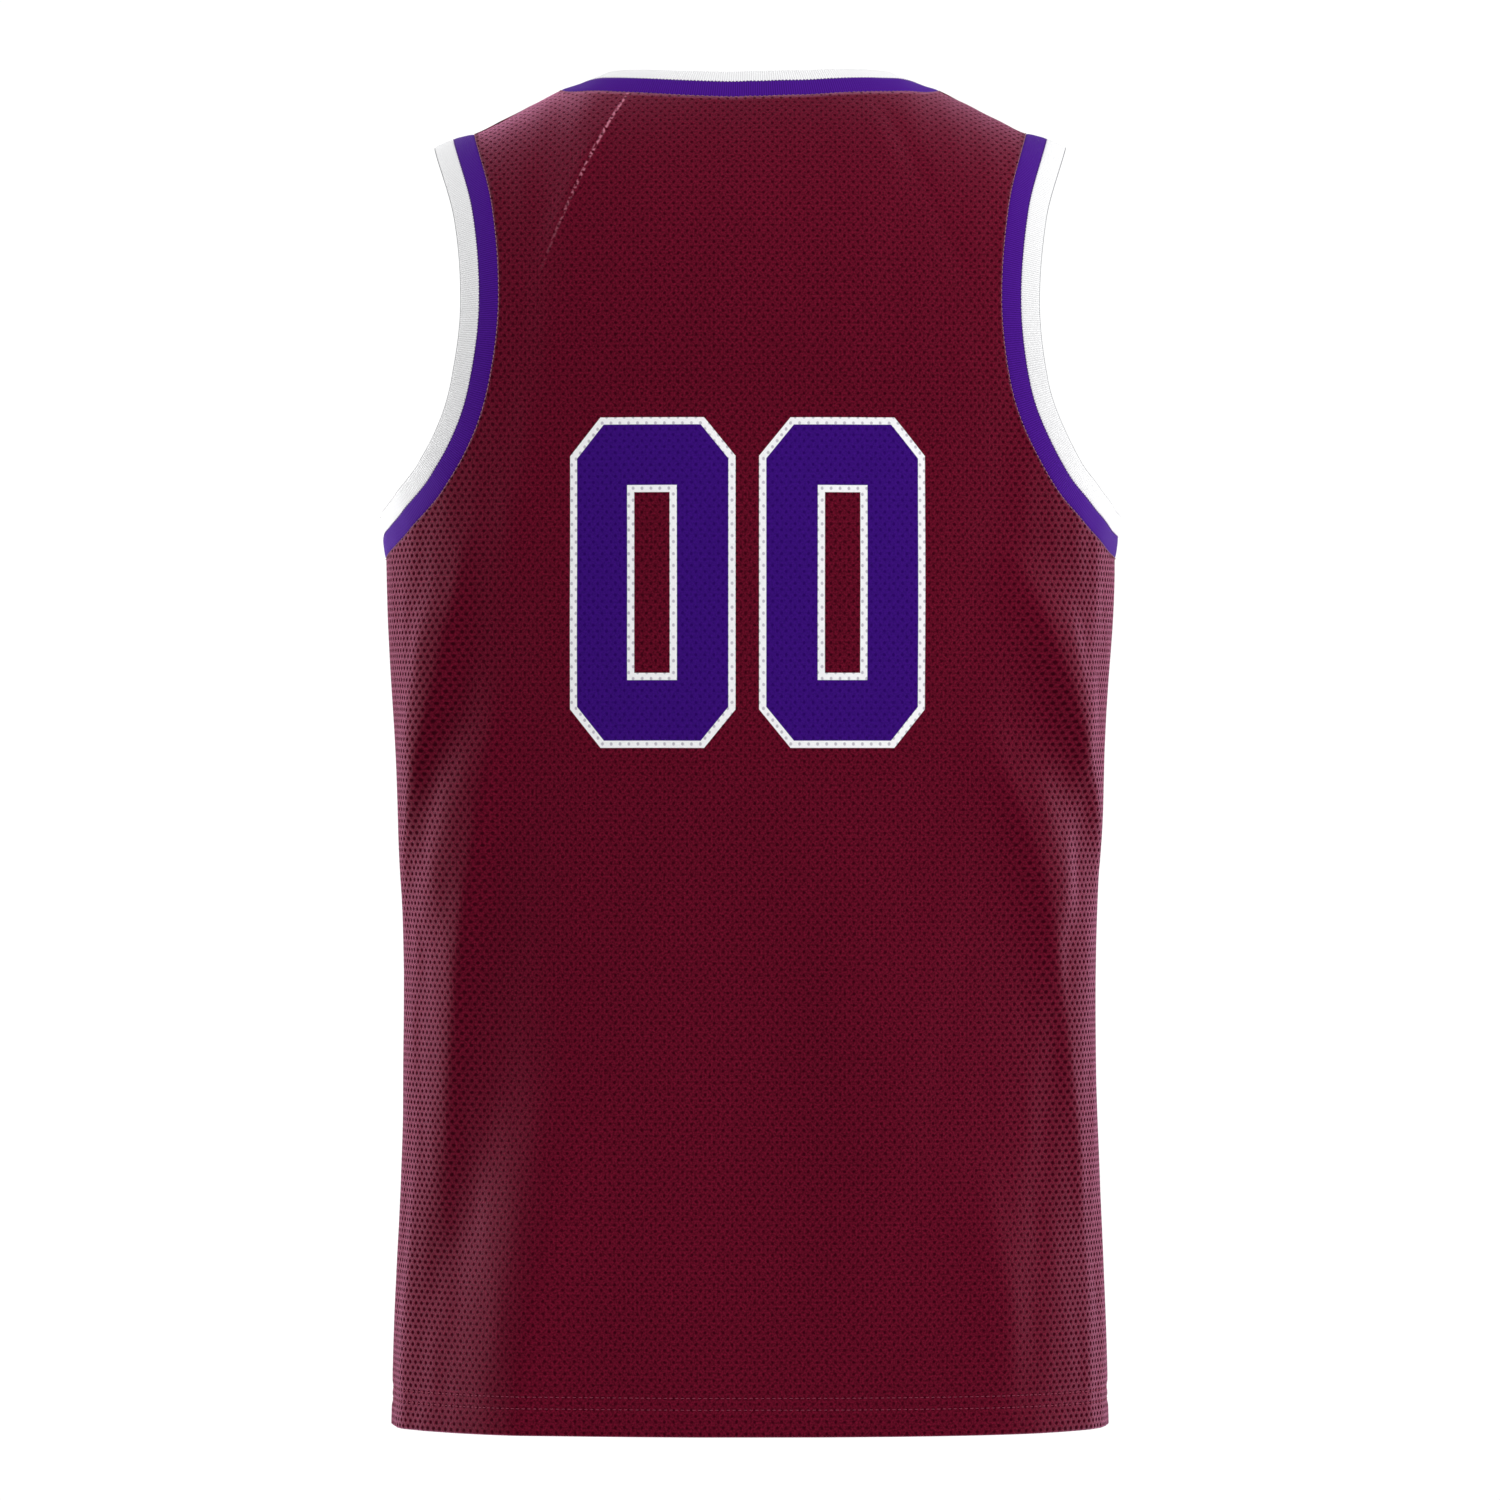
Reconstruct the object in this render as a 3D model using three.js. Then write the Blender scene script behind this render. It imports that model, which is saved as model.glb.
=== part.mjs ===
// A sleeveless basketball jersey, filled out as it is when worn.
// Millimetres, +Z up. The back of the garment faces -Y and its chest faces +Y.
// The origin lies midway between the two shoulders, at the level where they carry the garment.
import * as THREE from 'three';

// Lengths down the garment, as heights from the shoulders
const HEM_HEIGHT = -752;
const UNDERARM_HEIGHT = -259;
const YOKE_HEIGHT = -162; // above this the cloth rounds over towards the shoulders
const HEM_DEPTH = 23;

// The neck opening: half its width at the shoulders, and how far it reaches back and down
const NECK_HALF_WIDTH = 108;
const NECK_REACH_BACK = 62;
const NECK_DROP_FRONT = 104;
const NECK_BACK_ROUND = 0.4;
const NECK_FRONT_ROUND = 0.62;

// The front armhole is cut this much further in than the back one, at mid height
const FRONT_ARMHOLE_SCOOP = 8;

// Cloth thicknesses, and the two rib strips that trim each opening
const PANEL_WALL = 1.2;
const HEM_EXTRA = 0.9;
const HEM_STEP = 1.5;
const RIB_WALL = 1.8;
const RIB_PROUD = 0.3;
const STRIP_WIDTH = 11.8;
const SEAM_GAP = 0.3;

// How square the body's section is: 2 is an ellipse, and more is squarer
const SQUARENESS = 2.3;
// Length along the cloth from the yoke height to the shoulder line, which sets how rows are spaced
const YOKE_ARC = 190;
// Length along the cloth from the centre line to a side seam
const QUARTER_GIRTH = 277;

// Sections of the filled garment, from the hem up: half its width, and how far each side stands out
const SECTIONS = [
  { height: -752, halfWidth: 204.8, back: 127, front: 125 },
  { height: -690, halfWidth: 203.2, back: 125, front: 123 },
  { height: -615, halfWidth: 199.3, back: 122, front: 121 },
  { height: -510, halfWidth: 197.4, back: 119, front: 119 },
  { height: -390, halfWidth: 201.3, back: 122, front: 124 },
  { height: -259, halfWidth: 207.8, back: 127, front: 130 },
  { height: -162, halfWidth: 204.0, back: 121, front: 124 },
];

// The highest line of the shoulders. Inside the neck it carries on as if there were no opening.
const SHOULDER_LINE = [
  { across: 0, height: 29 },
  { across: 54, height: 26 },
  { across: 86, height: 18 },
  { across: 108, height: 8.5 },
  { across: 143, height: -9.5 },
  { across: 158, height: -16.5 },
  { across: 181, height: -24 },
];

// The back armhole's seam, where the panel meets its trim
const ARMHOLE_SEAM = [
  { height: -259, across: 207.8 },
  { height: -240, across: 189.5 },
  { height: -220, across: 172.3 },
  { height: -190, across: 155.8 },
  { height: -157, across: 146.2 },
  { height: -113, across: 141.8 },
  { height: -59, across: 146.2 },
  { height: -16.3, across: 157.5 },
];

// How the trim's two strips stand off the cloth, in degrees, where each opening needs it
const ARMHOLE_LEAN = { underarm: 7, shoulder: [8, -3], power: 5 };
const NECK_LEAN = [5, -12];

// The largest folds: where each starts and ends, along the cloth from the centre line and in height,
// half its width, how far it stands out (or in, below zero) and how long it takes to fade at each end
const FOLDS = {
  back: [
    { fromAlong: -140, fromHeight: -345, toAlong: -200, toHeight: -485, width: 19, out: 3.5, fade: 50 },
    { fromAlong: -168, fromHeight: -266, toAlong: -216, toHeight: -405, width: 18, out: 3, fade: 45 },
    { fromAlong: -88, fromHeight: -490, toAlong: -128, toHeight: -800, width: 25, out: 5, fade: 110 },
    { fromAlong: -150, fromHeight: -550, toAlong: -176, toHeight: -800, width: 20, out: -3.5, fade: 90 },
    { fromAlong: 146, fromHeight: -360, toAlong: 190, toHeight: -485, width: 19, out: 3.5, fade: 50 },
    { fromAlong: 150, fromHeight: -262, toAlong: 206, toHeight: -375, width: 18, out: 3, fade: 45 },
    { fromAlong: 108, fromHeight: -550, toAlong: 124, toHeight: -800, width: 28, out: 3.5, fade: 110 },
    { fromAlong: 0, fromHeight: -370, toAlong: 16, toHeight: -720, width: 24, out: -2.5, fade: 110 },
    { fromAlong: 42, fromHeight: -370, toAlong: 56, toHeight: -660, width: 24, out: 2, fade: 110 },
  ],
  front: [
    { fromAlong: -96, fromHeight: -330, toAlong: -150, toHeight: -800, width: 27, out: 4.5, fade: 100 },
    { fromAlong: -170, fromHeight: -300, toAlong: -214, toHeight: -560, width: 22, out: 3.5, fade: 70 },
    { fromAlong: -20, fromHeight: -450, toAlong: -34, toHeight: -800, width: 28, out: -2.5, fade: 120 },
    { fromAlong: 40, fromHeight: -380, toAlong: 62, toHeight: -800, width: 28, out: 3, fade: 120 },
    { fromAlong: 118, fromHeight: -460, toAlong: 150, toHeight: -800, width: 24, out: -3, fade: 100 },
    { fromAlong: 150, fromHeight: -310, toAlong: 222, toHeight: -620, width: 24, out: 4, fade: 80 },
  ],
};
// Folds die away this far from a side seam
const SEAM_CALM = 40;

// How finely the cloth is divided
const BODY_ROWS = 20;
const ARMHOLE_ROWS = 16;
const NECK_COLUMNS = 12; // on each side of the centre line
const SHOULDER_COLUMNS = 2;
const TRACE_STEPS = 240; // for following a seam before it is divided evenly
// Between the underarms the rows sag, and below the neck the columns fan out, so that none runs
// along a seam
const UNDERARM_SAG = 34;
const SAG_POWER = 7;
const FAN_POWER = 7;

const COLOURS = { mesh: 0x5a1526, purple: 0x3a0f7c, white: 0xe8e8ea };

const QUARTER_TURN = Math.PI / 2;
const SMALL_TURN = 1e-4;
const SMALL_RISE = 0.02;

// Each panel is described as its own side is seen: across to the right, and out towards the eye.
const PANELS = {
  back: { side: 'back', facing: 1 },
  front: { side: 'front', facing: -1 },
};

function lerp(from, to, share) {
  return from + (to - from) * share;
}

function smoothStep(share) {
  const held = Math.min(1, Math.max(0, share));
  return held * held * (3 - 2 * held);
}

// A smooth curve through a table's rows: the value at one place along the key column
function lookUp(table, key, at, column) {
  const last = table.length - 1;
  let row = 0;
  while (row < last - 1 && at > table[row + 1][key]) {
    row += 1;
  }
  const slopeAt = (index) => {
    const before = table[Math.max(0, index - 1)];
    const after = table[Math.min(last, index + 1)];
    return (after[column] - before[column]) / (after[key] - before[key]);
  };
  const from = table[row];
  const to = table[row + 1];
  const step = to[key] - from[key];
  const share = (at - from[key]) / step;
  if (share < 0) {
    return from[column] + slopeAt(row) * step * share;
  }
  if (share > 1) {
    return to[column] + slopeAt(row + 1) * step * (share - 1);
  }
  const bend = smoothStep(share);
  const leave = share * (1 - share) * (1 - share) * slopeAt(row) * step;
  const arrive = share * share * (share - 1) * slopeAt(row + 1) * step;
  return lerp(from[column], to[column], bend) + leave + arrive;
}

function shoulderHeight(across) {
  return lookUp(SHOULDER_LINE, 'across', Math.abs(across), 'height');
}

// A point of the smooth form, from the turn round the body (0 at the panel's centre line, a quarter
// turn at a side seam) and the rise up the cloth. Its x is across, y is out and z is height.
function formPoint(panel, turn, rise) {
  const level = Math.min(rise, YOKE_HEIGHT);
  const roll = (Math.max(0, rise - YOKE_HEIGHT) / YOKE_ARC) * QUARTER_TURN;
  const halfWidth = lookUp(SECTIONS, 'height', level, 'halfWidth');
  const depth = lookUp(SECTIONS, 'height', level, panel.side);
  const power = 2 / SQUARENESS;
  const across = halfWidth * Math.sign(turn) * Math.abs(Math.sin(turn)) ** power;
  const out = depth * Math.max(0, Math.cos(turn)) ** power * Math.max(0, Math.cos(roll));
  const height = level + (shoulderHeight(across) - YOKE_HEIGHT) * Math.sin(roll);
  return new THREE.Vector3(across, out, height);
}

function formNormal(panel, turn, rise) {
  const turnFrom = Math.max(-QUARTER_TURN, turn - SMALL_TURN);
  const turnTo = Math.min(QUARTER_TURN, turn + SMALL_TURN);
  const riseTo = Math.min(YOKE_HEIGHT + YOKE_ARC, rise + SMALL_RISE);
  const alongTurn = formPoint(panel, turnTo, rise).sub(formPoint(panel, turnFrom, rise));
  const alongRise = formPoint(panel, turn, riseTo).sub(formPoint(panel, turn, rise - SMALL_RISE));
  return alongRise.cross(alongTurn).normalize();
}

// How far the folds move the cloth out, at a turn and a rise
function foldOut(panel, turn, rise) {
  const along = (turn / QUARTER_TURN) * QUARTER_GIRTH;
  let out = 0;
  for (const fold of FOLDS[panel.side]) {
    const share = (fold.fromHeight - rise) / (fold.fromHeight - fold.toHeight);
    const centre = lerp(fold.fromAlong, fold.toAlong, share);
    const aside = (along - centre) / fold.width;
    const starts = smoothStep((fold.fromHeight - rise) / fold.fade);
    const ends = smoothStep((rise - fold.toHeight) / fold.fade);
    out += fold.out * Math.exp(-aside * aside) * starts * ends;
  }
  return out * smoothStep((QUARTER_GIRTH - Math.abs(along)) / SEAM_CALM);
}

// The cloth's outer face and its outward direction, in the part's own frame
function clothAt(panel, turn, rise) {
  const normal = formNormal(panel, turn, rise);
  const local = formPoint(panel, turn, rise).addScaledVector(normal, foldOut(panel, turn, rise));
  const turned = (v, shift) => new THREE.Vector3(panel.facing * v.x, -panel.facing * (v.y + shift), v.z);
  return { point: turned(local, SEAM_GAP / 2), normal: turned(normal, 0), turn, rise };
}

// The turn at which the form lies this far across, on the level of a rise
function turnAt(across, rise) {
  const halfWidth = lookUp(SECTIONS, 'height', Math.min(rise, YOKE_HEIGHT), 'halfWidth');
  return Math.asin(Math.min(1, across / halfWidth) ** (SQUARENESS / 2));
}

// The rise at which the form reaches a height, this far across
function riseAt(across, height) {
  if (height <= YOKE_HEIGHT) {
    return height;
  }
  const climb = (height - YOKE_HEIGHT) / (shoulderHeight(across) - YOKE_HEIGHT);
  return YOKE_HEIGHT + (Math.asin(Math.min(1, climb)) / QUARTER_TURN) * YOKE_ARC;
}

// Divides a seam into even lengths. placeAt gives its turn and rise at a share from 0 to 1.
function divideEvenly(panel, placeAt, count) {
  const places = [];
  const lengths = [];
  let length = 0;
  for (let step = 0; step <= TRACE_STEPS; step += 1) {
    const place = placeAt(step / TRACE_STEPS);
    const point = formPoint(panel, place.turn, place.rise);
    length += step > 0 ? point.distanceTo(places[step - 1].point) : 0;
    places.push({ ...place, point });
    lengths.push(length);
  }
  const stations = [];
  for (let station = 0; station <= count; station += 1) {
    const wanted = (length * station) / count;
    let step = 1;
    while (step < TRACE_STEPS && lengths[step] < wanted) {
      step += 1;
    }
    const share = (wanted - lengths[step - 1]) / (lengths[step] - lengths[step - 1]);
    const [before, after] = [places[step - 1], places[step]];
    stations.push({
      turn: lerp(before.turn, after.turn, share),
      rise: lerp(before.rise, after.rise, share),
    });
  }
  return stations;
}

// Armhole seam of one panel, from the underarm up to the shoulder. It starts and ends gently, because
// the form turns fast at the side and at the shoulder line.
function armholeSeam(panel) {
  const tip = ARMHOLE_SEAM[ARMHOLE_SEAM.length - 1];
  const scoop = panel.side === 'front' ? FRONT_ARMHOLE_SCOOP : 0;
  const placeAt = (share) => {
    if (share === 1) {
      return { turn: turnAt(tip.across, YOKE_HEIGHT), rise: YOKE_HEIGHT + YOKE_ARC };
    }
    const eased = (1 - Math.cos(Math.PI * share)) / 2;
    const height = lerp(UNDERARM_HEIGHT, shoulderHeight(tip.across), eased);
    const across = lookUp(ARMHOLE_SEAM, 'height', height, 'across') - scoop * Math.sin(Math.PI * eased) ** 2;
    return { turn: turnAt(across, height), rise: riseAt(across, height) };
  };
  return divideEvenly(panel, placeAt, ARMHOLE_ROWS);
}

// Half of a panel's neck seam, from the centre line to the shoulder line
function neckSeam(panel) {
  const placeAt = (share) => {
    const across = NECK_HALF_WIDTH * Math.sin(share * QUARTER_TURN);
    const turn = turnAt(across, YOKE_HEIGHT);
    const inside = Math.max(0, 1 - (across / NECK_HALF_WIDTH) ** 2);
    if (panel.side === 'back') {
      const out = NECK_REACH_BACK * inside ** NECK_BACK_ROUND;
      const roll = Math.acos(out / formPoint(panel, turn, YOKE_HEIGHT).y);
      return { turn, rise: YOKE_HEIGHT + (roll / QUARTER_TURN) * YOKE_ARC };
    }
    const height = shoulderHeight(NECK_HALF_WIDTH) - NECK_DROP_FRONT * inside ** NECK_FRONT_ROUND;
    return { turn, rise: share === 1 ? YOKE_HEIGHT + YOKE_ARC : riseAt(across, height) };
  };
  return divideEvenly(panel, placeAt, NECK_COLUMNS);
}

// A panel's top edge from left to right: shoulder seam, neck seam, shoulder seam. Each place has its
// column too, from -1 at the left edge to 1 at the right one.
function topEdge(panel, tipTurn) {
  const half = neckSeam(panel);
  const neckTurn = half[half.length - 1].turn;
  for (let step = 1; step <= SHOULDER_COLUMNS; step += 1) {
    const turn = lerp(neckTurn, tipTurn, step / SHOULDER_COLUMNS);
    half.push({ turn, rise: YOKE_HEIGHT + YOKE_ARC });
  }
  const right = half.map((place, index) => ({ ...place, column: index / (half.length - 1) }));
  const left = right.slice(1).reverse().map(({ turn, rise, column }) => ({ turn: -turn, rise, column: -column }));
  return [...left, ...right];
}

// All the points of a panel, in rows from the hem to the top edge, each row from left to right
function panelGrid(panel) {
  const seam = armholeSeam(panel);
  const tip = seam[seam.length - 1];
  const top = topEdge(panel, tip.turn);
  const hemTop = HEM_HEIGHT + HEM_DEPTH;
  const sag = (column, share) => UNDERARM_SAG * (1 - Math.abs(column) ** SAG_POWER) * share ** 2;
  const level = (height, share) => top.map(({ column }) => ({
    turn: column * QUARTER_TURN,
    rise: height - sag(column, share),
  }));
  const rows = [level(HEM_HEIGHT, 0), level(hemTop, 0)];
  const hemRows = rows.length;
  for (let row = 0; row < BODY_ROWS; row += 1) {
    const share = row / BODY_ROWS;
    rows.push(level(lerp(hemTop + HEM_STEP, UNDERARM_HEIGHT, share), share));
  }
  for (let row = 0; row <= ARMHOLE_ROWS; row += 1) {
    const edge = seam[row];
    const edgeUp = (edge.rise - UNDERARM_HEIGHT) / (tip.rise - UNDERARM_HEIGHT);
    const up = row / ARMHOLE_ROWS;
    rows.push(top.map(({ turn, rise, column }) => {
      const nearEdge = Math.abs(column) ** 3;
      const upright = turn + (edge.turn - tip.turn) * Math.sign(column) * nearEdge;
      const climb = (rise - UNDERARM_HEIGHT) * lerp(up, edgeUp, nearEdge);
      return {
        turn: lerp(column * edge.turn, upright, up ** FAN_POWER),
        rise: UNDERARM_HEIGHT + climb - sag(column, 1 - up),
      };
    }));
  }
  return rows.map((places, row) => places.map(({ turn, rise }) => ({
    ...clothAt(panel, turn, rise),
    inside: PANEL_WALL + (row < hemRows ? HEM_EXTRA : 0),
  })));
}

// A closed wall round a grid of points: an outer face, an inner face, and the edges between them.
// Rows run up and columns run right, as seen from outside. A ring's last column meets its first.
function wallGeometry(grid, proud, isRing) {
  const columns = grid[0].length;
  const places = grid.flat();
  const outer = places.map((place) => place.point.clone().addScaledVector(place.normal, proud));
  const inner = places.map((place, index) => outer[index].clone().addScaledVector(place.normal, -place.inside));
  const faces = [];
  // A quad's corners go round it. It is split from its first corner to its third.
  const addQuad = (a, b, c, d) => faces.push(a, b, c, a, c, d);
  const addMirrored = (a, b, c, d) => addQuad(b, c, d, a);
  const outside = (row, column) => row * columns + (column % columns);
  const inside = (row, column) => places.length + outside(row, column);
  const lastRow = grid.length - 1;
  const spans = isRing ? columns : columns - 1;
  for (let column = 0; column < spans; column += 1) {
    const next = column + 1;
    const addFace = !isRing && column >= spans / 2 ? addMirrored : addQuad;
    for (let row = 0; row < lastRow; row += 1) {
      const up = row + 1;
      addFace(outside(row, column), outside(row, next), outside(up, next), outside(up, column));
      addFace(inside(up, column), inside(up, next), inside(row, next), inside(row, column));
    }
    // A panel's top edge is split the other way from a ring's, because a trim runs against it.
    const addEdge = isRing ? addQuad : addMirrored;
    addQuad(inside(0, column), inside(0, next), outside(0, next), outside(0, column));
    addEdge(outside(lastRow, column), outside(lastRow, next), inside(lastRow, next), inside(lastRow, column));
  }
  for (let row = 0; row < lastRow && !isRing; row += 1) {
    const up = row + 1;
    addQuad(inside(row, 0), outside(row, 0), outside(up, 0), inside(up, 0));
    addQuad(outside(row, spans), inside(row, spans), inside(up, spans), outside(up, spans));
  }
  const geometry = new THREE.BufferGeometry();
  const positions = [...outer, ...inner].flatMap((point) => point.toArray());
  geometry.setAttribute('position', new THREE.Float32BufferAttribute(positions, 3));
  geometry.setIndex(faces);
  geometry.computeVertexNormals();
  return geometry;
}

function clothPiece(name, colour, roughness, grid, proud, isRing) {
  const material = new THREE.MeshStandardMaterial({ color: colour, roughness, metalness: 0 });
  const piece = new THREE.Mesh(wallGeometry(grid, proud, isRing), material);
  piece.name = name;
  return piece;
}

// Halfway between two places that meet at a seam
function between(one, other) {
  return {
    ...one,
    point: one.point.clone().add(other.point).multiplyScalar(0.5),
    normal: one.normal.clone().add(other.normal).normalize(),
  };
}

// The seam round an opening: up one panel's edge and down the other's, sharing both ends
function closedSeam(up, down) {
  const last = up.length - 1;
  return [between(up[0], down[last]), ...up.slice(1, last), between(up[last], down[0]), ...down.slice(1, last)];
}

// The two strips of a trim, one beyond the other from a closed seam. leansAt gives the two angles at
// which they stand off the cloth, for a place on the seam.
function trimGrids(seam, leansAt) {
  const count = seam.length;
  const strips = [[[], []], [[], []]];
  seam.forEach((place, index) => {
    const before = seam[(index + count - 1) % count].point;
    const after = seam[(index + 1) % count].point;
    const along = after.clone().sub(before).normalize();
    const away = along.clone().cross(place.normal).normalize();
    const facing = away.clone().cross(along).normalize();
    const tilted = (along, up, degrees) => {
      const lean = THREE.MathUtils.degToRad(degrees);
      return along.clone().multiplyScalar(Math.cos(lean)).addScaledVector(up, Math.sin(lean));
    };
    const leans = leansAt(place);
    const jointLean = (leans[0] + leans[1]) / 2;
    const edgeLeans = [[0, jointLean], [jointLean, leans[1]]];
    const reach = place.point.clone();
    leans.forEach((degrees, strip) => {
      const onward = tilted(away, facing, degrees);
      [1, 0].forEach((row, step) => {
        reach.addScaledVector(onward, step === 0 ? SEAM_GAP : STRIP_WIDTH);
        const normal = tilted(facing, away, -edgeLeans[strip][step]);
        strips[strip][row].push({ point: reach.clone(), normal, inside: RIB_WALL });
      });
    });
  });
  return strips;
}

function trimPieces(name, seam, leansAt) {
  const [inner, edge] = trimGrids(seam, leansAt);
  return [
    clothPiece(`${name}_inner`, COLOURS.purple, 0.75, inner, RIB_PROUD, true),
    clothPiece(`${name}_edge`, COLOURS.white, 0.75, edge, RIB_PROUD, true),
  ];
}

function armholeLeans(place) {
  const share = (place.rise - UNDERARM_HEIGHT) / (YOKE_HEIGHT + YOKE_ARC - UNDERARM_HEIGHT);
  const low = ARMHOLE_LEAN.underarm * (1 - share) ** ARMHOLE_LEAN.power;
  return ARMHOLE_LEAN.shoulder.map((degrees) => low + degrees * share ** ARMHOLE_LEAN.power);
}

// The armhole between one panel's right edge and the other's left edge
function armholeSeamRing(rightEdge, leftEdge) {
  const firstRow = rightEdge.length - 1 - ARMHOLE_ROWS;
  const up = rightEdge.slice(firstRow).map((row) => row[row.length - 1]);
  const down = leftEdge.slice(firstRow).map((row) => row[0]).reverse();
  return closedSeam(up, down);
}

function neckSeamRing(back, front) {
  const neckOf = (grid) => grid[grid.length - 1].slice(SHOULDER_COLUMNS, -SHOULDER_COLUMNS).reverse();
  return closedSeam(neckOf(back), neckOf(front));
}

const back = panelGrid(PANELS.back);
const front = panelGrid(PANELS.front);

const jersey = new THREE.Group();
jersey.add(clothPiece('back_panel', COLOURS.mesh, 0.65, back, 0, false));
jersey.add(clothPiece('front_panel', COLOURS.mesh, 0.65, front, 0, false));
jersey.add(...trimPieces('neck_trim', neckSeamRing(back, front), () => NECK_LEAN));
jersey.add(...trimPieces('right_armhole_trim', armholeSeamRing(back, front), armholeLeans));
jersey.add(...trimPieces('left_armhole_trim', armholeSeamRing(front, back), armholeLeans));

export default jersey;
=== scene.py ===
# %% [markdown]
# # A basketball jersey, filled out as if it were worn
# The jersey hangs in the air in the shape that a wearer would give it, and we look at its back.
# Two panels of mesh knit make the body. Striped rib trim, sewn from two strips, closes the neck and
# the armholes. Everything here is in the same frame as the solids: metres, +Z up, the back towards
# -Y, and the origin midway between the shoulders. The sizes below are in millimetres, because a
# maker thinks in them, and they are turned into metres when a mesh is made.

# %% Load the solids as a fixed frame
import math

import bpy
import numpy as np
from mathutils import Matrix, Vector


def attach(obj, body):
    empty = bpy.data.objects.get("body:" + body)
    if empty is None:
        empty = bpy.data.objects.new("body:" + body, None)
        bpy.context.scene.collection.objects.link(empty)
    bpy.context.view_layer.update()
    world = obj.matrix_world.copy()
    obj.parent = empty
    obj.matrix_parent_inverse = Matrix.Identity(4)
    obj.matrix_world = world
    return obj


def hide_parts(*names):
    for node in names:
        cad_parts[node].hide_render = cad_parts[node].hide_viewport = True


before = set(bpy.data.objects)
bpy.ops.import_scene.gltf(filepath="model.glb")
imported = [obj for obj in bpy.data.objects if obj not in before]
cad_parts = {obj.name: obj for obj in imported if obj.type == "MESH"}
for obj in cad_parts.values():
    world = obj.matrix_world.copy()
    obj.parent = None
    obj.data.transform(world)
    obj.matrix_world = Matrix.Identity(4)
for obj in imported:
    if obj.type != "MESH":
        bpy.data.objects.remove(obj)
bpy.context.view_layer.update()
print("nodes in the frame:", ", ".join(sorted(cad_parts)))

# %% [markdown]
# ## The camera
# A product photographer stands far off with a long lens, so that the near chest and the far chest
# come out almost the same size. The camera stands level with the middle of the garment, 6.2 m
# behind its side seams. Its lens follows from how wide the picture is at that distance.

# %% Place the camera
MM = 0.001
EYE_DISTANCE = 6.2
EYE_HEIGHT = -0.368
PICTURE_WIDTH = 0.857  # what the picture spans at the side seams
SENSOR_WIDTH = 36.0

lens = bpy.data.cameras.new("camera")
lens.sensor_width = SENSOR_WIDTH
lens.lens = SENSOR_WIDTH * EYE_DISTANCE / PICTURE_WIDTH
camera = bpy.data.objects.new("camera", lens)
camera.location = (0, -EYE_DISTANCE, EYE_HEIGHT)
camera.rotation_euler = (math.pi / 2, 0, 0)
bpy.context.scene.collection.objects.link(camera)
bpy.context.scene.camera = camera
print("lens", round(lens.lens, 1), "mm")

# %% [markdown]
# ## The form inside the cloth
# A worn jersey takes its form from its cut: straight sides, a section that is squarer than an
# ellipse, and a yoke that rolls over towards the shoulder line. Modelling it by hand would lose the
# solids' sizes, so the same tables and formulas are repeated here, only with far finer steps. A
# place on the cloth has a turn round the body, 0 at the panel's centre line and a quarter turn at a
# side seam, and a rise up the cloth.

# %% The sizes of the form, in millimetres
HEM_HEIGHT = -752
UNDERARM_HEIGHT = -259
YOKE_HEIGHT = -162
HEM_DEPTH = 23
HEM_STEP = 1.5  # the turned-up edge is felt over this height
NECK_HALF_WIDTH = 108
NECK_REACH_BACK = 62
NECK_DROP_FRONT = 104
NECK_BACK_ROUND = 0.4
NECK_FRONT_ROUND = 0.62
FRONT_ARMHOLE_SCOOP = 8
SQUARENESS = 2.3
YOKE_ARC = 190
QUARTER_GIRTH = 277
QUARTER_TURN = math.pi / 2
FULL_TURN = math.pi * 2
SEAM_GAP = 0.3

# Height, half the width, and how far the back and the front stand out
SECTIONS = np.array([
    (-752, 204.8, 127, 125),
    (-690, 203.2, 125, 123),
    (-615, 199.3, 122, 121),
    (-510, 197.4, 119, 119),
    (-390, 201.3, 122, 124),
    (-259, 207.8, 127, 130),
    (-162, 204.0, 121, 124),
])
HALF_WIDTH, BACK_DEPTH, FRONT_DEPTH = 1, 2, 3
# Across, and the height of the shoulder line there
SHOULDER_LINE = np.array([
    (0, 29), (54, 26), (86, 18), (108, 8.5), (143, -9.5), (158, -16.5), (181, -24),
])
# Height, and how far across the back armhole's seam is there
ARMHOLE_SEAM = np.array([
    (-259, 207.8), (-240, 189.5), (-220, 172.3), (-190, 155.8),
    (-157, 146.2), (-113, 141.8), (-59, 146.2), (-16.3, 157.5),
])
# Which column holds a panel's depth, and which way it faces
PANELS = {"back": (BACK_DEPTH, 1), "front": (FRONT_DEPTH, -1)}


# %% Read a smooth curve through a table
def smooth_step(share):
    held = np.clip(share, 0, 1)
    return held * held * (3 - 2 * held)


def look_up(table, at, column=1):
    """A smooth curve through a table's rows: the values of one column at places along the first."""
    keys, values = table[:, 0], table[:, column]
    last = len(keys) - 1
    at = np.asarray(at, float)
    row = np.clip(np.searchsorted(keys, at, side="left") - 1, 0, last - 1)
    every = np.arange(last + 1)
    before, after = np.maximum(every - 1, 0), np.minimum(every + 1, last)
    slopes = (values[after] - values[before]) / (keys[after] - keys[before])
    step = keys[row + 1] - keys[row]
    share = (at - keys[row]) / step
    inside = np.clip(share, 0, 1)
    curve = values[row] + (values[row + 1] - values[row]) * smooth_step(inside)
    curve = curve + inside * (1 - inside) ** 2 * slopes[row] * step
    curve = curve + inside ** 2 * (inside - 1) * slopes[row + 1] * step
    curve = curve + np.minimum(share, 0) * slopes[row] * step
    return curve + np.maximum(share - 1, 0) * slopes[row + 1] * step


print("half width at the chest", float(look_up(SECTIONS, -259)), "mm")


# %% Points of the form and their outward directions
def shoulder_height(across):
    return look_up(SHOULDER_LINE, np.abs(across))


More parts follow.
